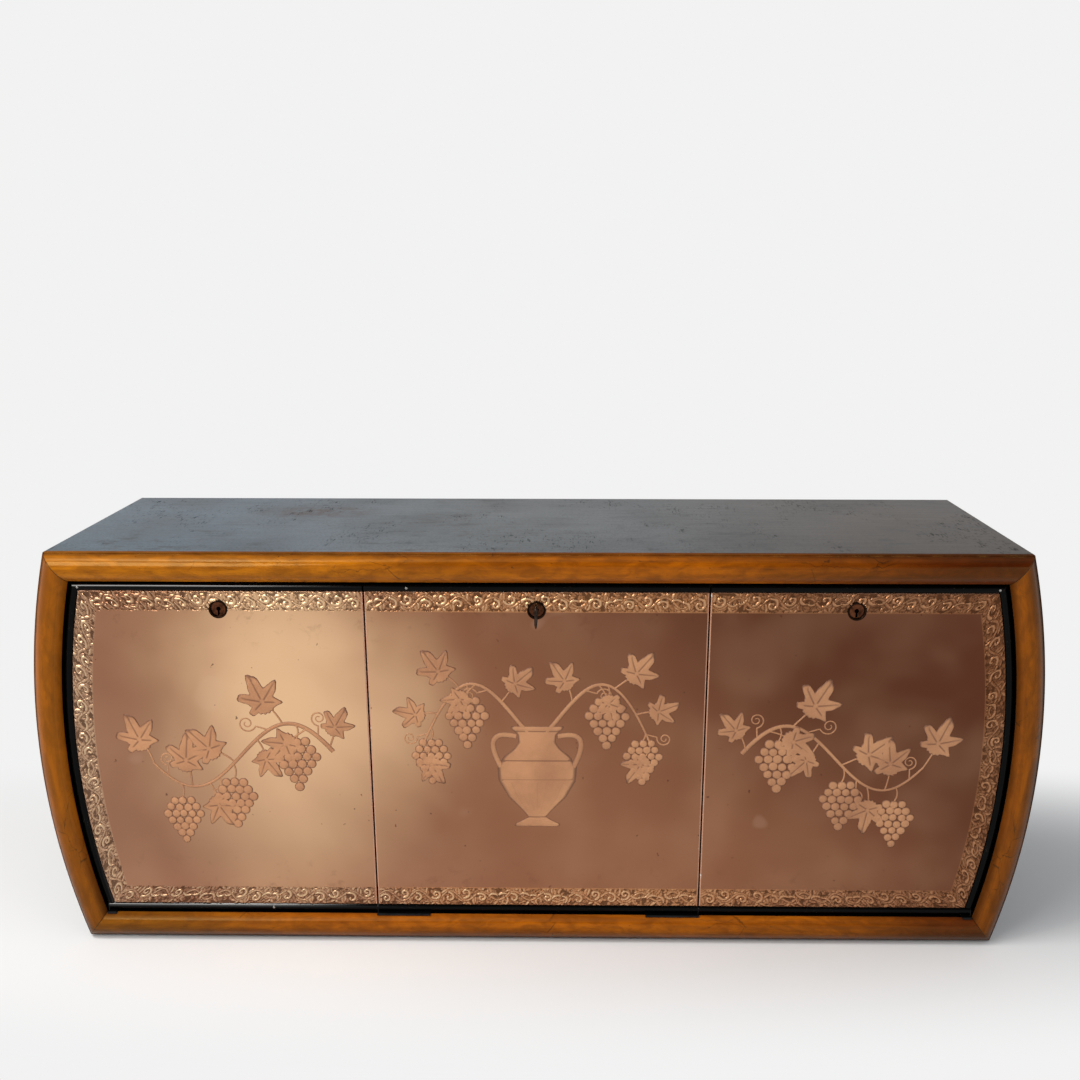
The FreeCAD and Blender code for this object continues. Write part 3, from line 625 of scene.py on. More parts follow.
def rose_mirror():
    """Rose-tinted mirror, clear in the middle, foxed along its top and foot."""
    n = new_material("rose_mirror")
    spot = n.spot()
    # Tone: rose tint with painted reflection.
    tone, clouds = silver_tone(n, spot)
    scratch = n.use(SCRATCHES, Vector=spot, Amount=0.35)["Mask"]
    rim = n.step(n.math("ABSOLUTE", n.parts(spot)[2] - MID_Z), 0.15, 0.225)
    foxing = n.blots(spot, 38.0, 0.56, 0.70, 5.0, 0.68, 0.5)
    specks = n.blots(spot, 95.0, 0.735, 0.765, 2.0)
    colour = n.coats(tone, (foxing * rim * 0.25, (96, 56, 40)), (specks * 0.7, (84, 46, 32)),
                     (scratch * 0.25, (236, 200, 170)))
    return n.surface(colour, n.step(clouds, 0.4, 0.7) * 0.05 + 0.03, Metallic=1.0, Coat_Weight=0.12,
                     Coat_Roughness=0.03, Normal=n.bump(n.noise(spot, 9.0, 2.0), 0.001, 0.25))


def chipped_border():
    """Chipped scroll relief: painted golden highlight on the crests and painted dark shade in the hollows,
    over the mirror's rose tint and painted reflection.
    """
    n = new_material("chipped_border")
    spot = n.spot()
    x = n.parts(spot)[0]
    # Rose tint with painted reflection.
    tone, _ = silver_tone(n, spot)
    # Painted reflection: lighter in the middle and at the far left.
    centre = n.step(x, -0.3, -0.1) * n.step(x, 0.45, 0.2, 0.35, 1.0)
    tone = n.coats(tone, (centre * 0.45, (214, 152, 102)), (n.step(x, -0.62, -0.68) * 0.25, (236, 206, 170)))
    grit = n.noise(spot, 700.0, 3.0)
    level = n.mark("crest") + (grit - 0.5) * 0.5
    # Painted shade for the hollows and painted highlight for the crests, paler to the left and pinker to the
    # right.
    painted_hollow_shade = n.coats(tone, (0.74, (56, 30, 18)))
    light = n.mix(n.step(x, -0.1, 0.5), n.coats(tone, (0.68, (255, 230, 184))),
                  n.coats(tone, (0.50, (234, 178, 132))))
    colour = n.mix(n.step(level, 0.0, 0.5), painted_hollow_shade, tone)
    colour = n.mix(n.step(level, 0.5, 1.0), colour, light)
    return n.surface(colour, grit * 0.2 + 0.16, Metallic=1.0, Normal=n.bump(grit, 0.00025, 0.4))


def frosted_relief():
    """Frosted glass relief: peach bodies with darker cut outlines, widened as painted shade round their rims.
    """
    n = new_material("frosted_relief")
    spot = n.spot()
    frost = n.noise(spot, 900.0, 3.0)
    colour = n.mix(n.blots(spot, 14.0, 0.3, 0.7, 4.0), srgb(170, 116, 80), srgb(196, 140, 98))
    # Dark outlines: partly cut lines, partly painted shade round the bodies.
    colour = n.coats(colour, (n.step(frost, 0.4, 0.7) * 0.18, (220, 174, 132)),
                     (n.step(n.mark("cut"), 0.25, 0.9) * 0.9, (92, 54, 36)))
    return n.surface(colour, 0.5, Metallic=0.25, Normal=n.bump(frost, 0.0002, 0.5))


def pane_edge():
    """Polished pinkish glass edge with a few white chips."""
    n = new_material("pane_edge")
    spot = n.spot()
    chips = n.blots(n.stretch(spot, (1.0, 1.0, 0.6)), 90.0, 0.66, 0.72, 3.0)
    colour = n.mix(n.noise(spot, 40.0, 3.0), srgb(212, 164, 136), srgb(176, 120, 92))
    colour = n.coats(colour, (chips, (240, 232, 222)))
    return n.surface(colour, chips * 0.4 + 0.12, Metallic=0.3)


def shelf_glass():
    """Clear shelf glass, faintly green, with smears."""
    n = new_material("shelf_glass")
    smears = n.use(RUBS, Scale=12.0, Rub=0.5, Dust=0.2)["Rubs"]
    colour = n.mix(smears, srgb(232, 244, 238), srgb(220, 236, 228))
    return n.surface(colour, smears * 0.08 + 0.02, Transmission_Weight=1.0, IOR=1.5)


HONEY_RAIL = honey_lacquer("honey_rail", True)
HONEY_STILE = honey_lacquer("honey_stile", False)
BLACK = black_lacquer()
BEAD = black_bead()
MAPLE_ACROSS = maple("maple_across")
MAPLE_UPRIGHT = maple("maple_upright", True)
PLY = maple("back_ply", False, 0.55)
MIRROR = rose_mirror()
BORDER = chipped_border()
FROST = frosted_relief()
PANE_EDGE = pane_edge()
GLASS = shelf_glass()
BRASS = metal("aged_brass", (176, 136, 70), (104, 74, 36), 0.24, 0.7)
DISC_BRASS = metal("disc_brass", (98, 58, 38), (46, 27, 18), 0.3, 0.9, 130.0)
# Dark brass of the keyhole rings, partly painted shade.
DARK_BRASS = metal("dark_brass", (40, 26, 18), (18, 12, 9), 0.34, 0.8)
LOCK_STEEL = metal("lock_steel", (160, 158, 154), (118, 113, 106), 0.3, 0.5, 22.0)
DARK_STEEL = metal("dark_steel", (40, 40, 42), (22, 20, 19), 0.38, 0.7)
KEY_STEEL = metal("key_steel", (66, 58, 52), (20, 17, 15), 0.18, 0.9, 90.0)


# Front frame

def frame_loop():
    """Section of the frame as (inset, y) points, with the material number of each side."""
    loop = [(0.0, CASE_FRONT), (0.0, LIP_BACK)]
    loop += bezier((0.0, FILLET_Y + FRAME_SOFT), (0.0, FILLET_Y), (FRAME_SOFT, FILLET_Y), 4)
    loop += [(QUIRK - 0.0002, FILLET_Y), (QUIRK, FILLET_Y - 0.0003)]
    crown = arc_through((QUIRK, QUIRK_Y), ((QUIRK + FRAME_FACE) / 2, CROWN_Y), (FRAME_FACE, ARRIS_Y), 41)
    loop += crown[:-1]
    loop += bezier(crown[-2], crown[-1], (FRAME_FACE, ARRIS_Y + 2 * FRAME_SOFT), 5)[1:]
    kinds = [2] + [0] * (len(loop) - 2) + [1, 1]
    return loop + [(FRAME_FACE, CASE_FRONT)], kinds


def front_frame():
    loop, kinds = frame_loop()
    for edge, node, honey in (("top", "top_rail", HONEY_RAIL), ("bottom", "bottom_rail", HONEY_RAIL),
                              ("left", "left_stile", HONEY_STILE), ("right", "right_stile", HONEY_STILE)):
        bm = sweep(edge, loop, kinds, 60, groove=MITRE_GROOVE)
        piece(node + "_moulding", bm, "carcass", (honey, BEAD, BLACK), 38, (node,))


# Flap beads

def bead_loop():
    """Section of a half-round bead with a tongue behind it."""
    centre = FLAP_INSET + BEAD_RADIUS
    loop = [(centre - BEAD_RADIUS * math.cos(t), BEAD_Y - BEAD_RADIUS * math.sin(t))
            for t in np.linspace(0, math.pi, 17)]
    tongue = PANEL_FRONT + 0.005
    return loop + [(centre + BEAD_RADIUS, tongue), (FLAP_INSET, tongue)]


def flap_span(flap):
    """X limits of a flap's straight beads and pane; an outer end runs to the mitre."""
    inner, centre = JOINT_X + JOINT_HALF, JOINT_X - JOINT_HALF
    return {"left": ("mitre", -inner), "centre": (-centre, centre), "right": (inner, "mitre")}[flap]


def flap_beads(flap):
    loop = bead_loop()
    low, high = flap_span(flap)
    foot_ends = [-RELIEF_X if low == "mitre" else low, RELIEF_X if high == "mitre" else high]
    runs = [("top", "top", 24, (low, high)), ("bottom", "bottom", 24, foot_ends)]
    if flap != "centre":
        runs.append(("outer", flap, 48, (RELIEF_TOP, "mitre")))
    for place, edge, count, ends in runs:
        name = flap + "_" + place + "_bead"
        bm = sweep(edge, loop, [0] * len(loop), count, *ends)
        piece(name + "_moulding", bm, flap + "_flap", (BEAD,), 40, (name,))


# Scroll border

def about(rng, value, share):
    """Value varied at random by a share of itself."""
    return value * (1 + share * rng.uniform(-1, 1))


def spiral(centre, radius, start, turns, way, count=22):
    """Points of a volute from its rim inwards."""
    t = np.linspace(0, 1, count)
    angle = start + way * t * turns * 2 * math.pi
    reach = radius * (1 - 0.82 * t ** 0.8)
    return np.stack([centre[0] + reach * np.cos(angle), centre[1] + reach * np.sin(angle)], 1)


def teardrop(start, angle, length, bend, count=8):
    """Points of a leaf finger that bends as it runs out."""
    heading = angle + bend * np.linspace(0, 1, count)
    step = length / (count - 1)
    steps = np.stack([np.cos(heading), np.sin(heading)], 1) * step
    return np.array(start) + np.cumsum(steps, axis=0)


def finger_width(count, widest):
    t = np.linspace(0, 1, count)
    return widest * (0.25 + 0.75 * np.sin(math.pi * (0.12 + 0.88 * t)) ** 0.8)


def running_scroll(length, rng):
    """Strokes (points, half widths, height) of a dense running scroll on a band, lowest first.

    The first coordinate runs along the band, the second across it from 0 to BAND."""
    buds, leaves, curls = [], [], []
    count = max(2, round(length / SCROLL_PITCH))
    pitch = length / count
    middle = BAND / 2
    for k in range(-1, count + 1):
        up = 1 if k % 2 == 0 else -1
        u0 = k * pitch
        for _ in range(30):
            spot = (u0 + pitch * rng.uniform(0, 1), middle + rng.uniform(-1, 1) * 0.0155)
            lean = rng.uniform(0, 2 * math.pi)
            bud = teardrop(spot, lean, rng.uniform(0.005, 0.010), rng.uniform(-2.6, 2.6), 6)
            buds.append((bud, finger_width(6, rng.uniform(0.0017, 0.0027)), rng.uniform(0.4, 0.8)))
        sway = about(rng, 0.0078, 0.25)
        crest = (u0 + pitch / 2, middle + up * (sway - 0.001))
        for spread in (-70, -26, 20, 64):
            lean = math.radians(up * (90 + spread + 18 * rng.uniform(-1, 1)))
            leaf = teardrop(crest, lean, about(rng, 0.0105, 0.3), up * math.radians(spread * 1.1))
            leaves.append((leaf, finger_width(8, rng.uniform(0.0021, 0.0029)), rng.uniform(0.8, 0.95)))
        foot = (u0 + pitch * 0.02, middle)
        for way, lean in ((1, 60), (-1, 120)):
            turn = math.radians(-up * (lean + 18 * rng.uniform(-1, 1)))
            reach = about(rng, 0.0130, 0.25)
            leaf = teardrop(foot, turn, reach, math.radians(-up * way * rng.uniform(40, 110)))
            leaves.append((leaf, finger_width(8, rng.uniform(0.0020, 0.0026)), rng.uniform(0.8, 0.95)))
        t = np.linspace(0, 1, 12)
        stem = np.stack([u0 + t * pitch, middle + up * sway * np.sin(math.pi * t)], 1)
        curls.append((stem, np.full(12, 0.0016), 0.85))
        if rng.uniform(0, 1) < 0.72:
            along = u0 + pitch * (0.52 + 0.10 * rng.uniform(-1, 1))
            centre = (along, middle - up * 0.0040 + 0.0015 * rng.uniform(-1, 1))
            radius = rng.uniform(0.0075, 0.0105)
            start = up * math.radians(120 + 45 * rng.uniform(-1, 1))
            curl = spiral(centre, radius, start, rng.uniform(0.8, 1.3), -up)
            curls.append((curl, np.linspace(0.0024, 0.0015, len(curl)), 1.0))
        else:
            for way in (-1, 1):
                turn = math.radians(-up * 90 + way * rng.uniform(30, 80))
                curl = teardrop((u0 + pitch / 2, middle), turn, 0.017, way * rng.uniform(1.6, 2.8), 12)
                curls.append((curl, finger_width(12, 0.0024), 1.0))
    return buds + leaves + curls


def stroke_heights(points, strokes):
    """Height of the relief at each point: each stroke lies over those before it, in a cut outline."""
    height = np.zeros(len(points))
    for line, half, top in strokes:
        reach = half.max() + CUT_OUTLINE
        near = ((points > line.min(0) - reach) & (points < line.max(0) + reach)).all(1).nonzero()[0]
        if not len(near):
            continue
        p = points[near][:, None, :]
        a, b = line[:-1][None], line[1:][None]
        ab = b - a
        share = np.clip(((p - a) * ab).sum(2) / np.maximum((ab ** 2).sum(2), 1e-12), 0, 1)
        gap = np.linalg.norm(p - a - ab * share[:, :, None], axis=2)
        wide = half[:-1][None] + (half[1:] - half[:-1])[None] * share
        ratio = (gap / wide).min(1)
        beyond = (gap - wide).min(1)
        here = np.where(ratio < 1, top * np.sqrt(np.clip(1 - 0.8 * ratio ** 2, 0, 1)), height[near])
        cut = (ratio >= 1) & (beyond < CUT_OUTLINE)
        height[near] = np.where(cut, here * np.clip(beyond / CUT_OUTLINE, 0, 1) ** 2, here)
    return height


def band_heights(edge, low, high):
    """Grids of one border strip: its relief, from 0 in the hollows to 1 on the crests, and its painted light.
    """
    length = math.dist(*(edge_point(edge, PANE_INSET + BAND / 2, t, low, high) for t in (0, 1)))
    rng = random.Random(edge + str(low) + str(high))
    u = np.linspace(0, length, round(length / BAND_PITCH) + 1)
    v = np.linspace(0, BAND, BAND_ROWS + 1)
    grid = np.stack(np.meshgrid(u, v), 2).reshape(-1, 2)
    height = stroke_heights(grid, running_scroll(length, rng)).reshape(len(v), len(u))
    down_band, along_band = np.gradient(height, v, u)
    way_u, way_v = {"top": (1, 1), "bottom": (1, -1), "left": (-1, 1), "right": (-1, -1)}[edge]
    # Painted highlight on the crests and on slopes facing up and to the left, painted shade in the hollows.
    slope = np.clip((way_u * along_band + way_v * down_band) * 0.0011, -1, 1)
    crest_light_and_shade = np.clip(0.02 + 0.74 * height + 0.30 * slope, 0, 1)
    ragged = 0.0009 + 0.0005 * np.sin(u * 530 + 1.9 * np.sin(u * 170))
    ragged += 0.0004 * np.sin(u * 1250 + 2.4 * np.sin(u * 290))
    rim = np.minimum(v[:, None] + 0.0004, BAND - v[:, None] - ragged[None, :])
    fade = np.clip(np.minimum(rim, np.minimum(u, length - u)[None, :]) / 0.0012, 0, 1)
    return BAND_LEVEL - (BAND_LEVEL - height) * fade, 0.5 - (0.5 - crest_light_and_shade) * fade


# Panes

def border_strip(bm, crest, edge, low, high):
    """Chipped border along one edge of a pane; returns its rows from the rim inwards."""
    height, crest_light_and_shade = band_heights(edge, low, high)
    columns = height.shape[1] - 1
    rows = []
    for i in range(BAND_ROWS + 1):
        row = []
        for j in range(columns + 1):
            x, z = edge_point(edge, PANE_INSET + BAND * i / BAND_ROWS, j / columns, low, high)
            vert = bm.verts.new((x, PANE_FRONT + BAND_DEPTH * (BAND_LEVEL - height[i, j]), z))
            vert[crest] = crest_light_and_shade[i, j]
            row.append(vert)
        rows.append(row)
    skin(bm, rows)
    return rows


def keyhole_arc(bm, crest, lock_x, first, last):
    """Points of the keyhole opening below the border, from the first vertex to the last."""
    start, end = (math.atan2(v.co.z - KEY_Z, v.co.x - lock_x) for v in (first, last))
    if start > 0:
        start -= 2 * math.pi
    arc = []
    for angle in np.linspace(start, end, 26)[1:-1]:
        x, z = lock_x + HOLE_RADIUS * math.cos(angle), KEY_Z + HOLE_RADIUS * math.sin(angle)
        vert = bm.verts.new((x, PANE_FRONT, z))
        vert[crest] = 0.5
        arc.append(vert)
    return arc


def rim(bm):
    return [edge for edge in bm.edges if edge.is_boundary]


def drawn_out(bm, edges, kind, move):
    """Extrudes edges; move places each new vertex, and the new faces get a material number."""
    for item in bmesh.ops.extrude_edge_only(bm, edges=edges)["geom"]:
        if isinstance(item, bmesh.types.BMVert):
            item.co = move(item.co)
        elif isinstance(item, bmesh.types.BMFace):
            item.material_index = kind


def pane(flap):
    """Mirror pane with its chipped border, polished joint edges and keyhole opening."""
    bm = bmesh.new()
    # crest: painted light of the border, high on the crests and low in the hollows.
    crest = bm.verts.layers.float.new("crest")
    low, high = flap_span(flap)
    lock_x = LOCK_X[flap]
    ends = (low if low == "mitre" else low + CHAMFER, high if high == "mitre" else high - CHAMFER)
    strips = {edge: border_strip(bm, crest, edge, *ends) for edge in ("top", "bottom")}
    if flap != "centre":
        strips[flap] = border_strip(bm, crest, flap, "mitre", "mitre")
        for edge, end in (("bottom", 0), ("top", -1)):
            for side_row, row in zip(strips[flap], strips[edge]):
                side_row[end].co = row[0 if flap == "left" else -1].co

    def from_hole(vert):
        return math.hypot(vert.co.x - lock_x, vert.co.z - KEY_Z)

    kept = {edge: [v for v in rows[-1] if from_hole(v) >= HOLE_RADIUS] for edge, rows in strips.items()}
    bmesh.ops.delete(bm, geom=[v for v in bm.verts if from_hole(v) < HOLE_RADIUS], context="VERTS")
    for vert in bm.verts:
        away = from_hole(vert)
        if away < HOLE_RADIUS + 2.2 * BAND_PITCH and vert.is_boundary:
            vert.co.x = lock_x + (vert.co.x - lock_x) * HOLE_RADIUS / away
            vert.co.z = KEY_Z + (vert.co.z - KEY_Z) * HOLE_RADIUS / away
    top = kept["top"]
    gap = max(range(len(top) - 1), key=lambda i: (top[i + 1].co - top[i].co).length)
    top = top[:gap + 1] + keyhole_arc(bm, crest, lock_x, top[gap], top[gap + 1]) + top[gap + 1:]
    loop = kept["bottom"] + kept.get("right", []) + top[::-1] + kept.get("left", [])[::-1]
    field = [v for v, before in zip(loop, loop[-1:] + loop) if (v.co - before.co).length > 1e-6]
    bm.faces.new(field).material_index = 1
    weld(bm, 2e-6)
    for x, way in ((low, -1), (high, 1)):
        if x != "mitre":
            inner = x - way * CHAMFER
            column = [e for e in rim(bm) if all(abs(v.co.x - inner) < 1e-6 for v in e.verts)]
            drawn_out(bm, column, 2, lambda co: (x, PANE_FRONT + CHAMFER / 2, co.z))
    drawn_out(bm, rim(bm), 2, lambda co: (co.x, PANEL_FRONT, co.z))
    for item in bmesh.ops.triangle_fill(bm, edges=rim(bm), use_beauty=False, use_dissolve=True)["geom"]:
        if isinstance(item, bmesh.types.BMFace):
            item.material_index = 3
    piece(flap + "_pane", bm, flap + "_flap", (BORDER, MIRROR, PANE_EDGE, DARK_STEEL), None,
          (flap + "_mirror",))


# Case boards

def board_loop():
    """Section of a case board with eased back edges, and the material number of each side."""
    loop = [(BOARD, CASE_FRONT), (BOARD, CASE_BACK - BOARD_SOFT), (BOARD - BOARD_SOFT, CASE_BACK)]
    loop += bezier((BOARD_SOFT, CASE_BACK), (0.0, CASE_BACK), (0.0, CASE_BACK - BOARD_SOFT), 4)
    return loop + [(0.0, CASE_FRONT)], [1] + [0] * len(loop)


def case_boards():
    loop, kinds = board_loop()
    for edge, node, inside in (("top", "top_board", MAPLE_ACROSS), ("bottom", "bottom_board", MAPLE_ACROSS),
                               ("left", "left_side", MAPLE_UPRIGHT), ("right", "right_side", MAPLE_UPRIGHT)):
        bm = sweep(edge, loop, kinds, 64)
        piece(node + "_leaf", bm, "carcass", (BLACK, inside), 30, (node,))


def back_panel():
    """Ply back with eased edges, let in a hair below the boards to make room for its screws."""
    low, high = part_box("back_panel")
    face = high.y - BACK_SUNK
    shares = np.linspace(0, 1, 25)[:-1]
    bm = bmesh.new()
    rings = []
    for ease, y in ((0.0, low.y), (0.0, face - BACK_SOFT), (BACK_SOFT, face)):
        ring = []
        for edge, run in (("bottom", shares), ("right", shares), ("top", 1 - shares), ("left", 1 - shares)):
            for share in run:
                x, z = edge_point(edge, BOARD + 0.0002 + ease, share)
                ring.append(bm.verts.new((x, y, z)))
        rings.append(ring)
    skin(bm, rings, True, False)
    bm.faces.new(rings[0]).material_index = 1
    bm.faces.new(rings[-1])
    piece("back_panel_leaf", bm, "carcass", (PLY, MAPLE_ACROSS), 30, ("back_panel",))


# Solids that keep their shape

def dress(node, materials, choose=None, ease=0.0006):
    """Gives a solid its materials, face by face where choose picks by normal, and eased edges."""
    obj = frame["nodes"][node]
    obj.data.materials.clear()
    for material in materials:
        obj.data.materials.append(material)
    for polygon in obj.data.polygons:
        polygon.material_index = choose(polygon.normal) if choose else 0
    if ease:
        obj.modifiers.new("joined_faces", "WELD").merge_threshold = 0.00001
        bevel = obj.modifiers.new("eased_edges", "BEVEL")
        bevel.width = ease
        bevel.segments = 2
        bevel.limit_method = "ANGLE"
        bevel.angle_limit = math.radians(50)
        bevel.harden_normals = True


def dress_solids():
    for side in ("left", "right"):
        dress(side + "_partition", (MAPLE_UPRIGHT, BEAD), lambda n: 1 if n.y < -0.5 else 0)
        dress(side + "_joint_bracket", (DARK_STEEL,), ease=0.0003)
        dress(side + "_outer_bracket", (DARK_STEEL,), ease=0.0003)
    dress("pivot_pins", (LOCK_STEEL,), ease=0)
    for flap in FLAPS:
        dress(flap + "_panel", (BEAD, MAPLE_ACROSS), lambda n: 1 if n.y > 0.5 else 0)
        for name, material, ease in (("_escutcheon", DISC_BRASS, 0.0002), ("_lock_case", LOCK_STEEL, 0.0006),
                                     ("_bolt", BRASS, 0.0003), ("_strike", BRASS, 0.0003),
                                     ("_shelf", GLASS, 0.0008), ("_shelf_pins", BRASS, 0.0005)):
            dress(flap + name, (material,), ease=ease)
    for stay in STAYS:
        dress(stay + "_stay", (BRASS,), ease=0.0004)
        dress(stay + "_keeper", (BRASS,), ease=0.0004)


# Keyhole rings and key

def lathe(bm, profile, centre, around=48):
    """Turns a profile of (radius, y) about the Y axis through (x, z)."""
    x, z = centre
    turns = circle(around)
    rings = []
    for radius, y in profile:
        rings.append([bm.verts.new((x + radius * math.cos(t), y, z + radius * math.sin(t))) for t in turns])
    skin(bm, rings, True)
    return rings


def keyhole_ring(flap):
    """Raised lip round the keyhole opening, dark partly as the hole's own edge, partly as painted shade."""
    bm = bmesh.new()
    profile = [(0.0127, 0.0028), (0.0106, 0.0026), (0.0108, 0.0), (0.0115, -0.0006), (0.0126, -0.0008),
               (0.0134, -0.0006), (0.0138, 0.0), (0.0138, 0.0017)]
    rings = lathe(bm, [(radius, PANE_FRONT + y) for radius, y in profile], (LOCK_X[flap], KEY_Z))
    skin(bm, (rings[-1], rings[0]), True)
    piece(flap + "_keyhole_ring", bm, flap + "_flap", (DARK_BRASS,), 50)


def key_bow(bm):
    """Oval bow with a rounded rim, thinner towards its top and foot."""
    bow_y, tall, deep, half = -0.248, 0.019, 0.011, 0.00225
    path, rise = deep - half, tall - deep
    rings = []
    for angle in circle(48):
        up = math.sin(angle)
        lift = rise if up > 1e-9 else -rise if up < -1e-9 else 0.0
        thick = 0.0022 - (0.0006 if up > 0 else 0.0014) * up ** 2
        ring = []
        for turn in circle(14):
            reach = path + half * math.cos(turn)
            ring.append(bm.verts.new((thick * math.sin(turn), bow_y + reach * math.cos(angle),
                                      KEY_Z + lift + reach * math.sin(angle))))
        rings.append(ring)
    skin(bm, rings + rings[:1], True)


def door_key():
    """Old furniture key: bow, turned collar, shank and bit."""
    bm = bmesh.new()
    key_bow(bm)
    profile = [(0.0, -0.2385), (0.0019, -0.2385), (0.0024, -0.2372), (0.0034, -0.2356), (0.0036, -0.2344),
               (0.0034, -0.2330), (0.0023, -0.2322), (0.0029, -0.2310), (0.0021, -0.2300), (0.0021, -0.2060),
               (0.0016, -0.2050), (0.0016, -0.1870), (0.0, -0.1866)]
    lathe(bm, profile, (0.0, KEY_Z), 28)
    for vert in bmesh.ops.create_cube(bm, size=1.0)["verts"]:
        vert.co = (vert.co.x * 0.0021, -0.191 + vert.co.y * 0.009, KEY_Z - 0.004 + vert.co.z * 0.008)
    weld(bm, 1e-7)
    piece("key_turned", bm, "key", (KEY_STEEL,), 40, ("key",))


# Screws and pins

def screw(bm, place, normal, radius, turn):
    """Slotted countersunk head: two low half domes either side of a slot, over a disc."""
    place, normal = Vector(place), Vector(normal).normalized()
    side = normal.orthogonal().normalized()
    side = side * math.cos(turn) + normal.cross(side) * math.sin(turn)
    other = normal.cross(side)
    slot, face = 0.16 * radius, 0.00003

    def at(u, v, h):
        return bm.verts.new(place + side * u + other * v + normal * h)

    disc = [[at(radius * math.cos(a), radius * math.sin(a), h) for a in circle(24)] for h in (-0.0003, face)]
    skin(bm, disc, True)
    for ring in disc:
        bm.faces.new(ring)
    start = math.asin(slot / radius)
    angles = np.linspace(start, math.pi - start, 12)
    for half in (1, -1):
        rings = []
        for share, h in ((1.0, face), (0.93, 0.10 * radius), (0.5, 0.17 * radius)):
            reach = share * radius
            rings.append([at(reach * math.cos(a), half * max(slot, reach * math.sin(a)), h) for a in angles])
        outer, rim, crown = rings
        skin(bm, rings)
        for ring in (outer, crown, (outer[0], rim[0], crown[0], crown[-1], rim[-1], outer[-1])):
            flat_face(bm, ring)


def fasteners():
    """Screws of each body, as one piece for the fixed case and one for each flap."""
    rng = random.Random(11)
    heads = {"carcass": [], "left_flap": [], "centre_flap": [], "right_flap": []}
    fixed = heads["carcass"]
    foot_top, foot_y = FRAME_FACE + 0.0024, -0.2085
    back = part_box("back_panel")[1].y - BACK_SUNK
    for way in (-1, 1):
        for step in (0.018, 0.045, 0.072):
            fixed.append(((way * (JOINT_X - step), foot_y, foot_top), (0, 0, 1), 0.0024))
        for z in (0.09, 0.24, 0.39, 0.54):
            fixed.append(((way * JOINT_X, back, z), (0, 1, 0), 0.0032))
    for flap in FLAPS:
        x = LOCK_X[flap]
        low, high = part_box(flap + "_strike")
        for step in (-0.015, 0.015):
            fixed.append(((x + step, high.y, (low.z + high.z) / 2), (0, 1, 0), 0.0021))
        low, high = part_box(flap + "_lock_case")
        for step in (-0.0155, 0.0155):
            for z in (low.z + 0.006, high.z - 0.006):
                heads[flap + "_flap"].append(((x + step, LOCK_BACK, z), (0, 1, 0), 0.0022))
    for stay, body in STAYS.items():
        way = 1 if stay in ("centre_left", "right") else -1
        side = 1 if way > 0 else 0
        for y, z in ((-0.1905, 0.1926), (-0.1884, 0.2050)):
            fixed.append(((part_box(stay + "_keeper")[side].x, y, z), (way, 0, 0), 0.0018))
        foot_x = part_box(stay + "_stay")[side].x - way * 0.0065
        for z in (0.1845, 0.2153):
            heads[body].append(((foot_x, PANEL_BACK + 0.0025, z), (0, 1, 0), 0.0024))
    for body, screws in heads.items():
        bm = bmesh.new()
        for place, normal, radius in screws:
            screw(bm, place, normal, radius, rng.uniform(0, math.pi))
        piece(body + "_screws", bm, body, (BRASS,), 40)


def bead_pins(flap):
    """Small domed pins in the crown of a flap's beads."""
    bm = bmesh.new()
    crown = BEAD_Y - BEAD_RADIUS
    inset = FLAP_INSET + BEAD_RADIUS
    profile = [(0.0, 0.0006), (0.0021, 0.0006), (0.0020, -0.0001), (0.0015, -0.0006), (0.0008, -0.0008),
               (0.0, -0.0009)]
    for x, edge in PIN_PLACES[flap]:
        z = HEIGHT - inset if edge == "top" else inset
        lathe(bm, [(radius, crown + y) for radius, y in profile], (x, z), 20)
    weld(bm, 1e-7)
    piece(flap + "_bead_pins", bm, flap + "_flap", (LOCK_STEEL,), 60)


# Vine relief on the panes

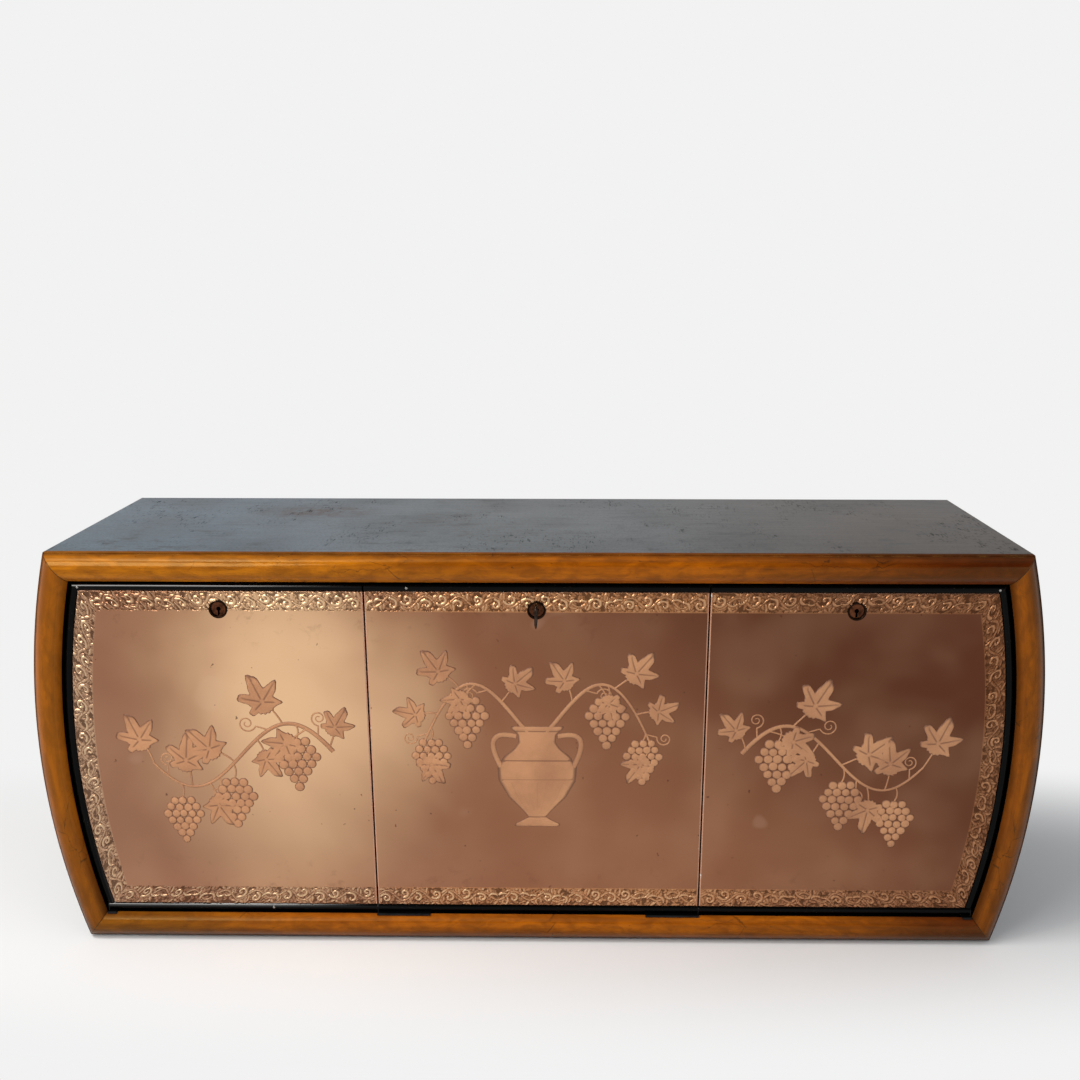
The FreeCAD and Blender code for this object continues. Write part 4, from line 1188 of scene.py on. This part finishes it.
class Relief:
    """Low closed bodies on a pane's face; each vertex carries how much it belongs to a dark cut outline,
    which is partly painted shade.
    """

    def __init__(self):
        self.bm = bmesh.new()
        self.cut = self.bm.verts.layers.float.new("cut")

    def point(self, x, z, height, mark):
        vert = self.bm.verts.new((x, PANE_FRONT + RELIEF_SUNK - height, z))
        vert[self.cut] = mark
        return vert

    def dome(self, x, z, outline, turns, shares, levels, marks):
        """Low dome over a star-shaped outline; levels and marks are rings from the rim to the middle."""
        rings = []
        for share, level, mark in zip(shares, levels, marks):
            xs, zs = x + outline * share * np.cos(turns), z + outline * share * np.sin(turns)
            rings.append([self.point(*values) for values in zip(xs, zs, level, mark)])
        middle = self.point(x, z, float(np.mean(levels[-1])), 0.0)
        skin(self.bm, rings, True)
        for i in range(len(turns)):
            self.bm.faces.new((rings[-1][i - 1], rings[-1][i], middle)).smooth = True
        flat_face(self.bm, rings[0])

    def leaf(self, x, z, size, heading, rise=0.0017):
        """Five-lobed leaf with sunk veins; heading points its tip."""
        count = 72
        lobes = ((0.0, 1.0, 0.36), (0.98, 0.84, 0.33), (-0.98, 0.84, 0.33), (2.0, 0.62, 0.36),
                 (-2.0, 0.62, 0.36))
        turns = np.linspace(-math.pi, math.pi, count, endpoint=False)
        offs = [np.angle(np.exp(1j * (turns - place))) for place, _, _ in lobes]
        outline = np.full(count, 0.3)
        for off, (_, reach, wide) in zip(offs, lobes):
            outline = np.maximum(outline, reach * (0.42 + 0.58 * np.exp(-(off / wide) ** 2)))
        outline = outline * (1 + 0.05 * np.sin(turns * 18)) * size
        levels, marks = [], []
        shares = (1.0, 0.965, 0.9, 0.75, 0.55, 0.35, 0.15)
        # Marks for the cut outline, widened inwards as painted shade.
        for share, rim in zip(shares, (1.0, 0.8, 0.4, 0.1, 0.1, 0.1, 0.1)):
            vein = np.zeros(count)
            for off, (_, reach, _) in zip(offs, lobes):
                line = np.exp(-(off * share * outline / (0.045 * size)) ** 2)
                vein = np.maximum(vein, line * (share < min(reach, 0.95)))
            body = rise * (0.62 + 0.38 * math.sqrt(1 - share ** 2)) if share < 1 else 0.0
            levels.append(body - 0.00035 * vein)
            marks.append(np.maximum(rim, 0.7 * vein))
        self.dome(x, z, outline, turns + heading, shares, levels, marks)

    def bunch(self, x, z, size, rng):
        """Hanging bunch of grapes, wide above and narrow below."""
        turns = circle(16)
        shares = (1.0, 0.9, 0.7, 0.4)
        levels = [np.full(16, 0.0019 * math.sqrt(1 - share ** 2)) for share in shares]
        marks = [np.full(16, mark) for mark in (1.0, 0.75, 0.3, 0.0)]
        radius = 0.0078 * size
        for row, count in enumerate((3, 4, 5, 4, 3, 2, 1)):
            for i in range(count):
                berry_x = x + (i - (count - 1) / 2) * radius * 1.78 + rng.uniform(-1, 1) * radius * 0.12
                berry_z = z - row * radius * 1.55 + rng.uniform(-1, 1) * radius * 0.12
                outline = np.full(16, radius * rng.uniform(0.94, 1.06))
                self.dome(berry_x, berry_z, outline, turns, shares, levels, marks)

    def ribbon(self, line, half, rise=0.0013):
        """Rounded stroke along a line of (x, z) with the half width at each point."""
        line = np.asarray(line, float)
        along = np.gradient(line, axis=0)
        along /= np.maximum(np.linalg.norm(along, axis=1, keepdims=True), 1e-9)
        side = np.stack([-along[:, 1], along[:, 0]], 1)
        shape = ((-1.0, 0.0, 1.0), (-0.72, 0.7, 0.5), (0.0, 1.0, 0.0), (0.72, 0.7, 0.5), (1.0, 0.0, 1.0))
        rows = []
        for p, s in zip(line, side * np.asarray(half)[:, None]):
            rows.append([self.point(*(p + s * out), rise * high, mark) for out, high, mark in shape])
        skin(self.bm, rows)
        for a, b in zip(rows, rows[1:]):
            flat_face(self.bm, (a[0], b[0], b[-1], a[-1]))
        flat_face(self.bm, rows[0])
        flat_face(self.bm, rows[-1])

    def vine(self, line, leaf_size, rng, leaves, bunches, tendrils):
        """Stem with leaves, hanging bunches and curled tendrils at shares of its length."""
        self.ribbon(line, np.linspace(0.0038, 0.0018, len(line)))

        def spot(share):
            place = share * (len(line) - 1)
            i = min(int(place), len(line) - 2)
            way = line[i + 1] - line[i]
            return line[i] + way * (place - i), math.atan2(way[1], way[0])

        for share, side, scale in leaves:
            p, heading = spot(share)
            lean = heading + side * math.radians(68 + 14 * rng.uniform(-1, 1))
            tip = p + np.array([math.cos(lean), math.sin(lean)]) * leaf_size * scale * 0.95
            self.ribbon(bezier(p, (p + tip) / 2 + 0.004, tip, 6), np.full(6, 0.0015))
            self.leaf(tip[0], tip[1], leaf_size * scale, lean + side * 0.25)
        for share, drop, scale in bunches:
            p, _ = spot(share)
            stalk = bezier(p, p + np.array([0.006, -drop / 2]), p + np.array([0.0, -drop]), 6)
            self.ribbon(stalk, np.full(6, 0.0014))
            self.bunch(p[0], p[1] - drop - 0.006, scale, rng)
        for share, side, reach in tendrils:
            p, heading = spot(share)
            lean = heading + side * 0.9
            centre = p + np.array([math.cos(lean), math.sin(lean)]) * reach
            curl = spiral(centre, reach * 0.42, lean + math.pi, 1.6, side, 34)
            run = np.vstack([bezier(p, (p + curl[0]) / 2, curl[0], 8)[:-1], curl])
            self.ribbon(run, np.concatenate([np.full(7, 0.0014), np.linspace(0.0014, 0.0009, 34)]), 0.0007)

    def urn(self, x, foot, tall):
        """Two-handled urn with cut bands and a fluted belly."""
        heights = (0.0, 0.03, 0.06, 0.10, 0.16, 0.30, 0.46, 0.60, 0.70, 0.77, 0.84, 0.92, 0.97, 1.0)
        widths = (0.21, 0.22, 0.15, 0.08, 0.13, 0.27, 0.36, 0.37, 0.31, 0.22, 0.17, 0.18, 0.24, 0.25)
        for way in (-1, 1):
            shares = ((0.19, 0.90), (0.52, 0.98), (0.33, 0.60))
            points = [(x + way * out * tall, foot + up * tall) for out, up in shares]
            self.ribbon(bezier(*points, 14), np.full(14, 0.0046), 0.0010)
        rows = []
        for share in np.linspace(0, 1, 60):
            wide = float(np.interp(share, heights, widths)) * tall
            band = max(math.exp(-((share - place) / 0.008) ** 2) for place in (0.10, 0.47, 0.66, 0.84, 0.95))
            row = []
            for s in np.linspace(-1, 1, 25):
                flute = 0.5 + 0.5 * math.cos(s * 9 * math.pi) if 0.16 < share < 0.45 else 0.0
                level, mark = 0.0, 1.0
                if abs(s) < 0.999 and 0 < share < 1:
                    level = 0.0014 * (0.35 + 0.65 * math.sqrt(1 - s * s)) - 0.0003 * band - 0.0002 * flute
                    mark = max(0.75 * band, 0.4 * flute, 0.6 if abs(s) > 0.9 else 0.0)
                row.append(self.point(x + s * wide, foot + share * tall, level, mark))
            rows.append(row)
        skin(self.bm, rows)
        right, left = [row[-1] for row in rows[1:-1]], [row[0] for row in rows[1:-1]]
        flat_face(self.bm, rows[0] + right + rows[-1][::-1] + left[::-1])


def pane_relief(flap):
    """Frosted vine on each pane; the middle one grows from an urn."""
    relief = Relief()
    rng = random.Random("vine " + flap)
    if flap == "centre":
        t = np.linspace(0, 1, 40)
        rise = 0.345 + 0.082 * np.sin(math.pi * 0.95 * t) - 0.03 * t ** 3
        for way in (-1, 1):
            relief.vine(np.stack([way * (0.012 + 0.158 * t ** 0.9), rise], 1), 0.041, rng,
                        ((0.22, way, 0.9), (0.46, -way, 0.85), (0.62, way, 1.0), (0.84, way, 0.85),
                         (1.0, -way * 0.75, 0.9)),
                        ((0.55, 0.020, 0.95), (0.92, 0.018, 0.85)),
                        ((0.34, -way, 0.030), (0.95, way, 0.028)))
        relief.urn(0.0, 0.192, 0.165)
    else:
        way = FLAPS[flap]
        t = np.linspace(0, 1, 56)
        rise = 0.292 + 0.060 * np.sin(2 * math.pi * (0.86 * t + 0.06)) + 0.03 * t
        relief.vine(np.stack([way * (0.306 + 0.272 * t), rise], 1), 0.045, rng,
                    ((0.02, way, 0.8), (0.14, -way, 0.95), (0.27, way, 1.05), (0.42, -way, 0.8),
                     (0.55, way, 1.0), (0.70, -way, 0.9), (0.80, way, 1.0), (1.0, way * 0.2, 1.0)),
                    ((0.20, 0.022, 1.0), (0.56, 0.024, 0.95), (0.86, 0.022, 0.9)),
                    ((0.08, way, 0.030), (0.35, way, 0.034), (0.64, -way, 0.030), (0.93, way, 0.028)))
    piece(flap + "_vine_relief", relief.bm, flap + "_flap", (FROST,))


# Stage, light and camera

def floor():
    """Pale floor that fades into the background away from the cabinet."""
    bm = bmesh.new()
    bmesh.ops.create_grid(bm, x_segments=1, y_segments=1, size=14)
    mesh = bpy.data.meshes.new("floor")
    bm.to_mesh(mesh)
    bm.free()
    obj = add_object("floor", mesh)
    obj.location = (0, 0, -0.0004)
    n = new_material("pale_floor")
    spot = n.spot()
    away = n.vector("LENGTH", n.stretch(spot, (0.27, 1.0, 1.0)), output="Value")
    colour = n.mix(n.noise(spot, 2.0, 3.0), (0.815, 0.82, 0.83, 1), (0.83, 0.835, 0.845, 1))
    plain = n.put("BsdfPrincipled", {"Base Color": colour, "Roughness": 0.7, "Specular IOR Level": 0.2})
    glow = n.put("Emission", {"Color": BACKGROUND, "Strength": 1.0})
    n.show(n.put("MixShader", {0: n.step(away, 0.25, 0.55) * n.seen(), 1: plain, 2: glow}))
    mesh.materials.append(n.material)


def world():
    """Even light; a pale backdrop under a dim ceiling for what the camera, gloss and glass see."""
    scene = bpy.context.scene
    scene.world = bpy.data.worlds.new("studio")
    scene.world.use_nodes = True
    scene.world.node_tree.nodes.clear()
    n = Nodes(scene.world.node_tree)
    up = n.parts(n.put("TexCoord", output="Generated"))[2]
    backdrop = n.mix(n.step(up, 0.28, 0.60), BACKGROUND, CEILING)
    light = n.put("Background", {"Color": (0.96, 0.97, 0.985, 1.0), "Strength": 0.46})
    shown = n.put("Background", {"Color": backdrop, "Strength": 1.0})
    n.show(n.put("MixShader", {0: n.seen(), 1: light, 2: shown}), "OutputWorld")


def lamp(name, place, target, size, power, colour=(1.0, 1.0, 1.0)):
    data = bpy.data.lights.new(name, "AREA")
    data.shape = "RECTANGLE"
    data.size, data.size_y = size
    data.energy = power
    data.color = colour
    obj = add_object(name, data)
    obj.location = place
    obj.rotation_euler = (Vector(target) - Vector(place)).to_track_quat("-Z", "Y").to_euler()


def camera():
    data = bpy.data.cameras.new("view")
    data.sensor_width = 36.0
    data.lens = 39.57
    data.shift_x, data.shift_y = -0.0133, 0.0748
    obj = add_object("view", data)
    obj.location = (0.048, -1.865, 1.016)
    obj.rotation_euler = (math.radians(73.25), 0.0, math.radians(0.77))
    bpy.context.scene.camera = obj


case_boards()
back_panel()
front_frame()
dress_solids()
for flap_name in FLAPS:
    flap_beads(flap_name)
    pane(flap_name)
    pane_relief(flap_name)
    keyhole_ring(flap_name)
    bead_pins(flap_name)
door_key()
fasteners()
floor()
world()
lamp("left_softbox", (-1.3, -1.75, 1.7), (0.0, -0.2, 0.3), (1.1, 0.9), 23, (1.0, 0.98, 0.95))
lamp("top_softbox", (-1.2, -0.74, 2.5), (-0.3, -0.1, 0.5), (1.1, 0.4), 36, (1.0, 0.97, 0.92))
lamp("right_fill", (2.2, -2.2, 1.5), (0.0, -0.2, 0.3), (1.4, 1.4), 4)
camera()
bpy.context.scene.view_settings.view_transform = "Standard"
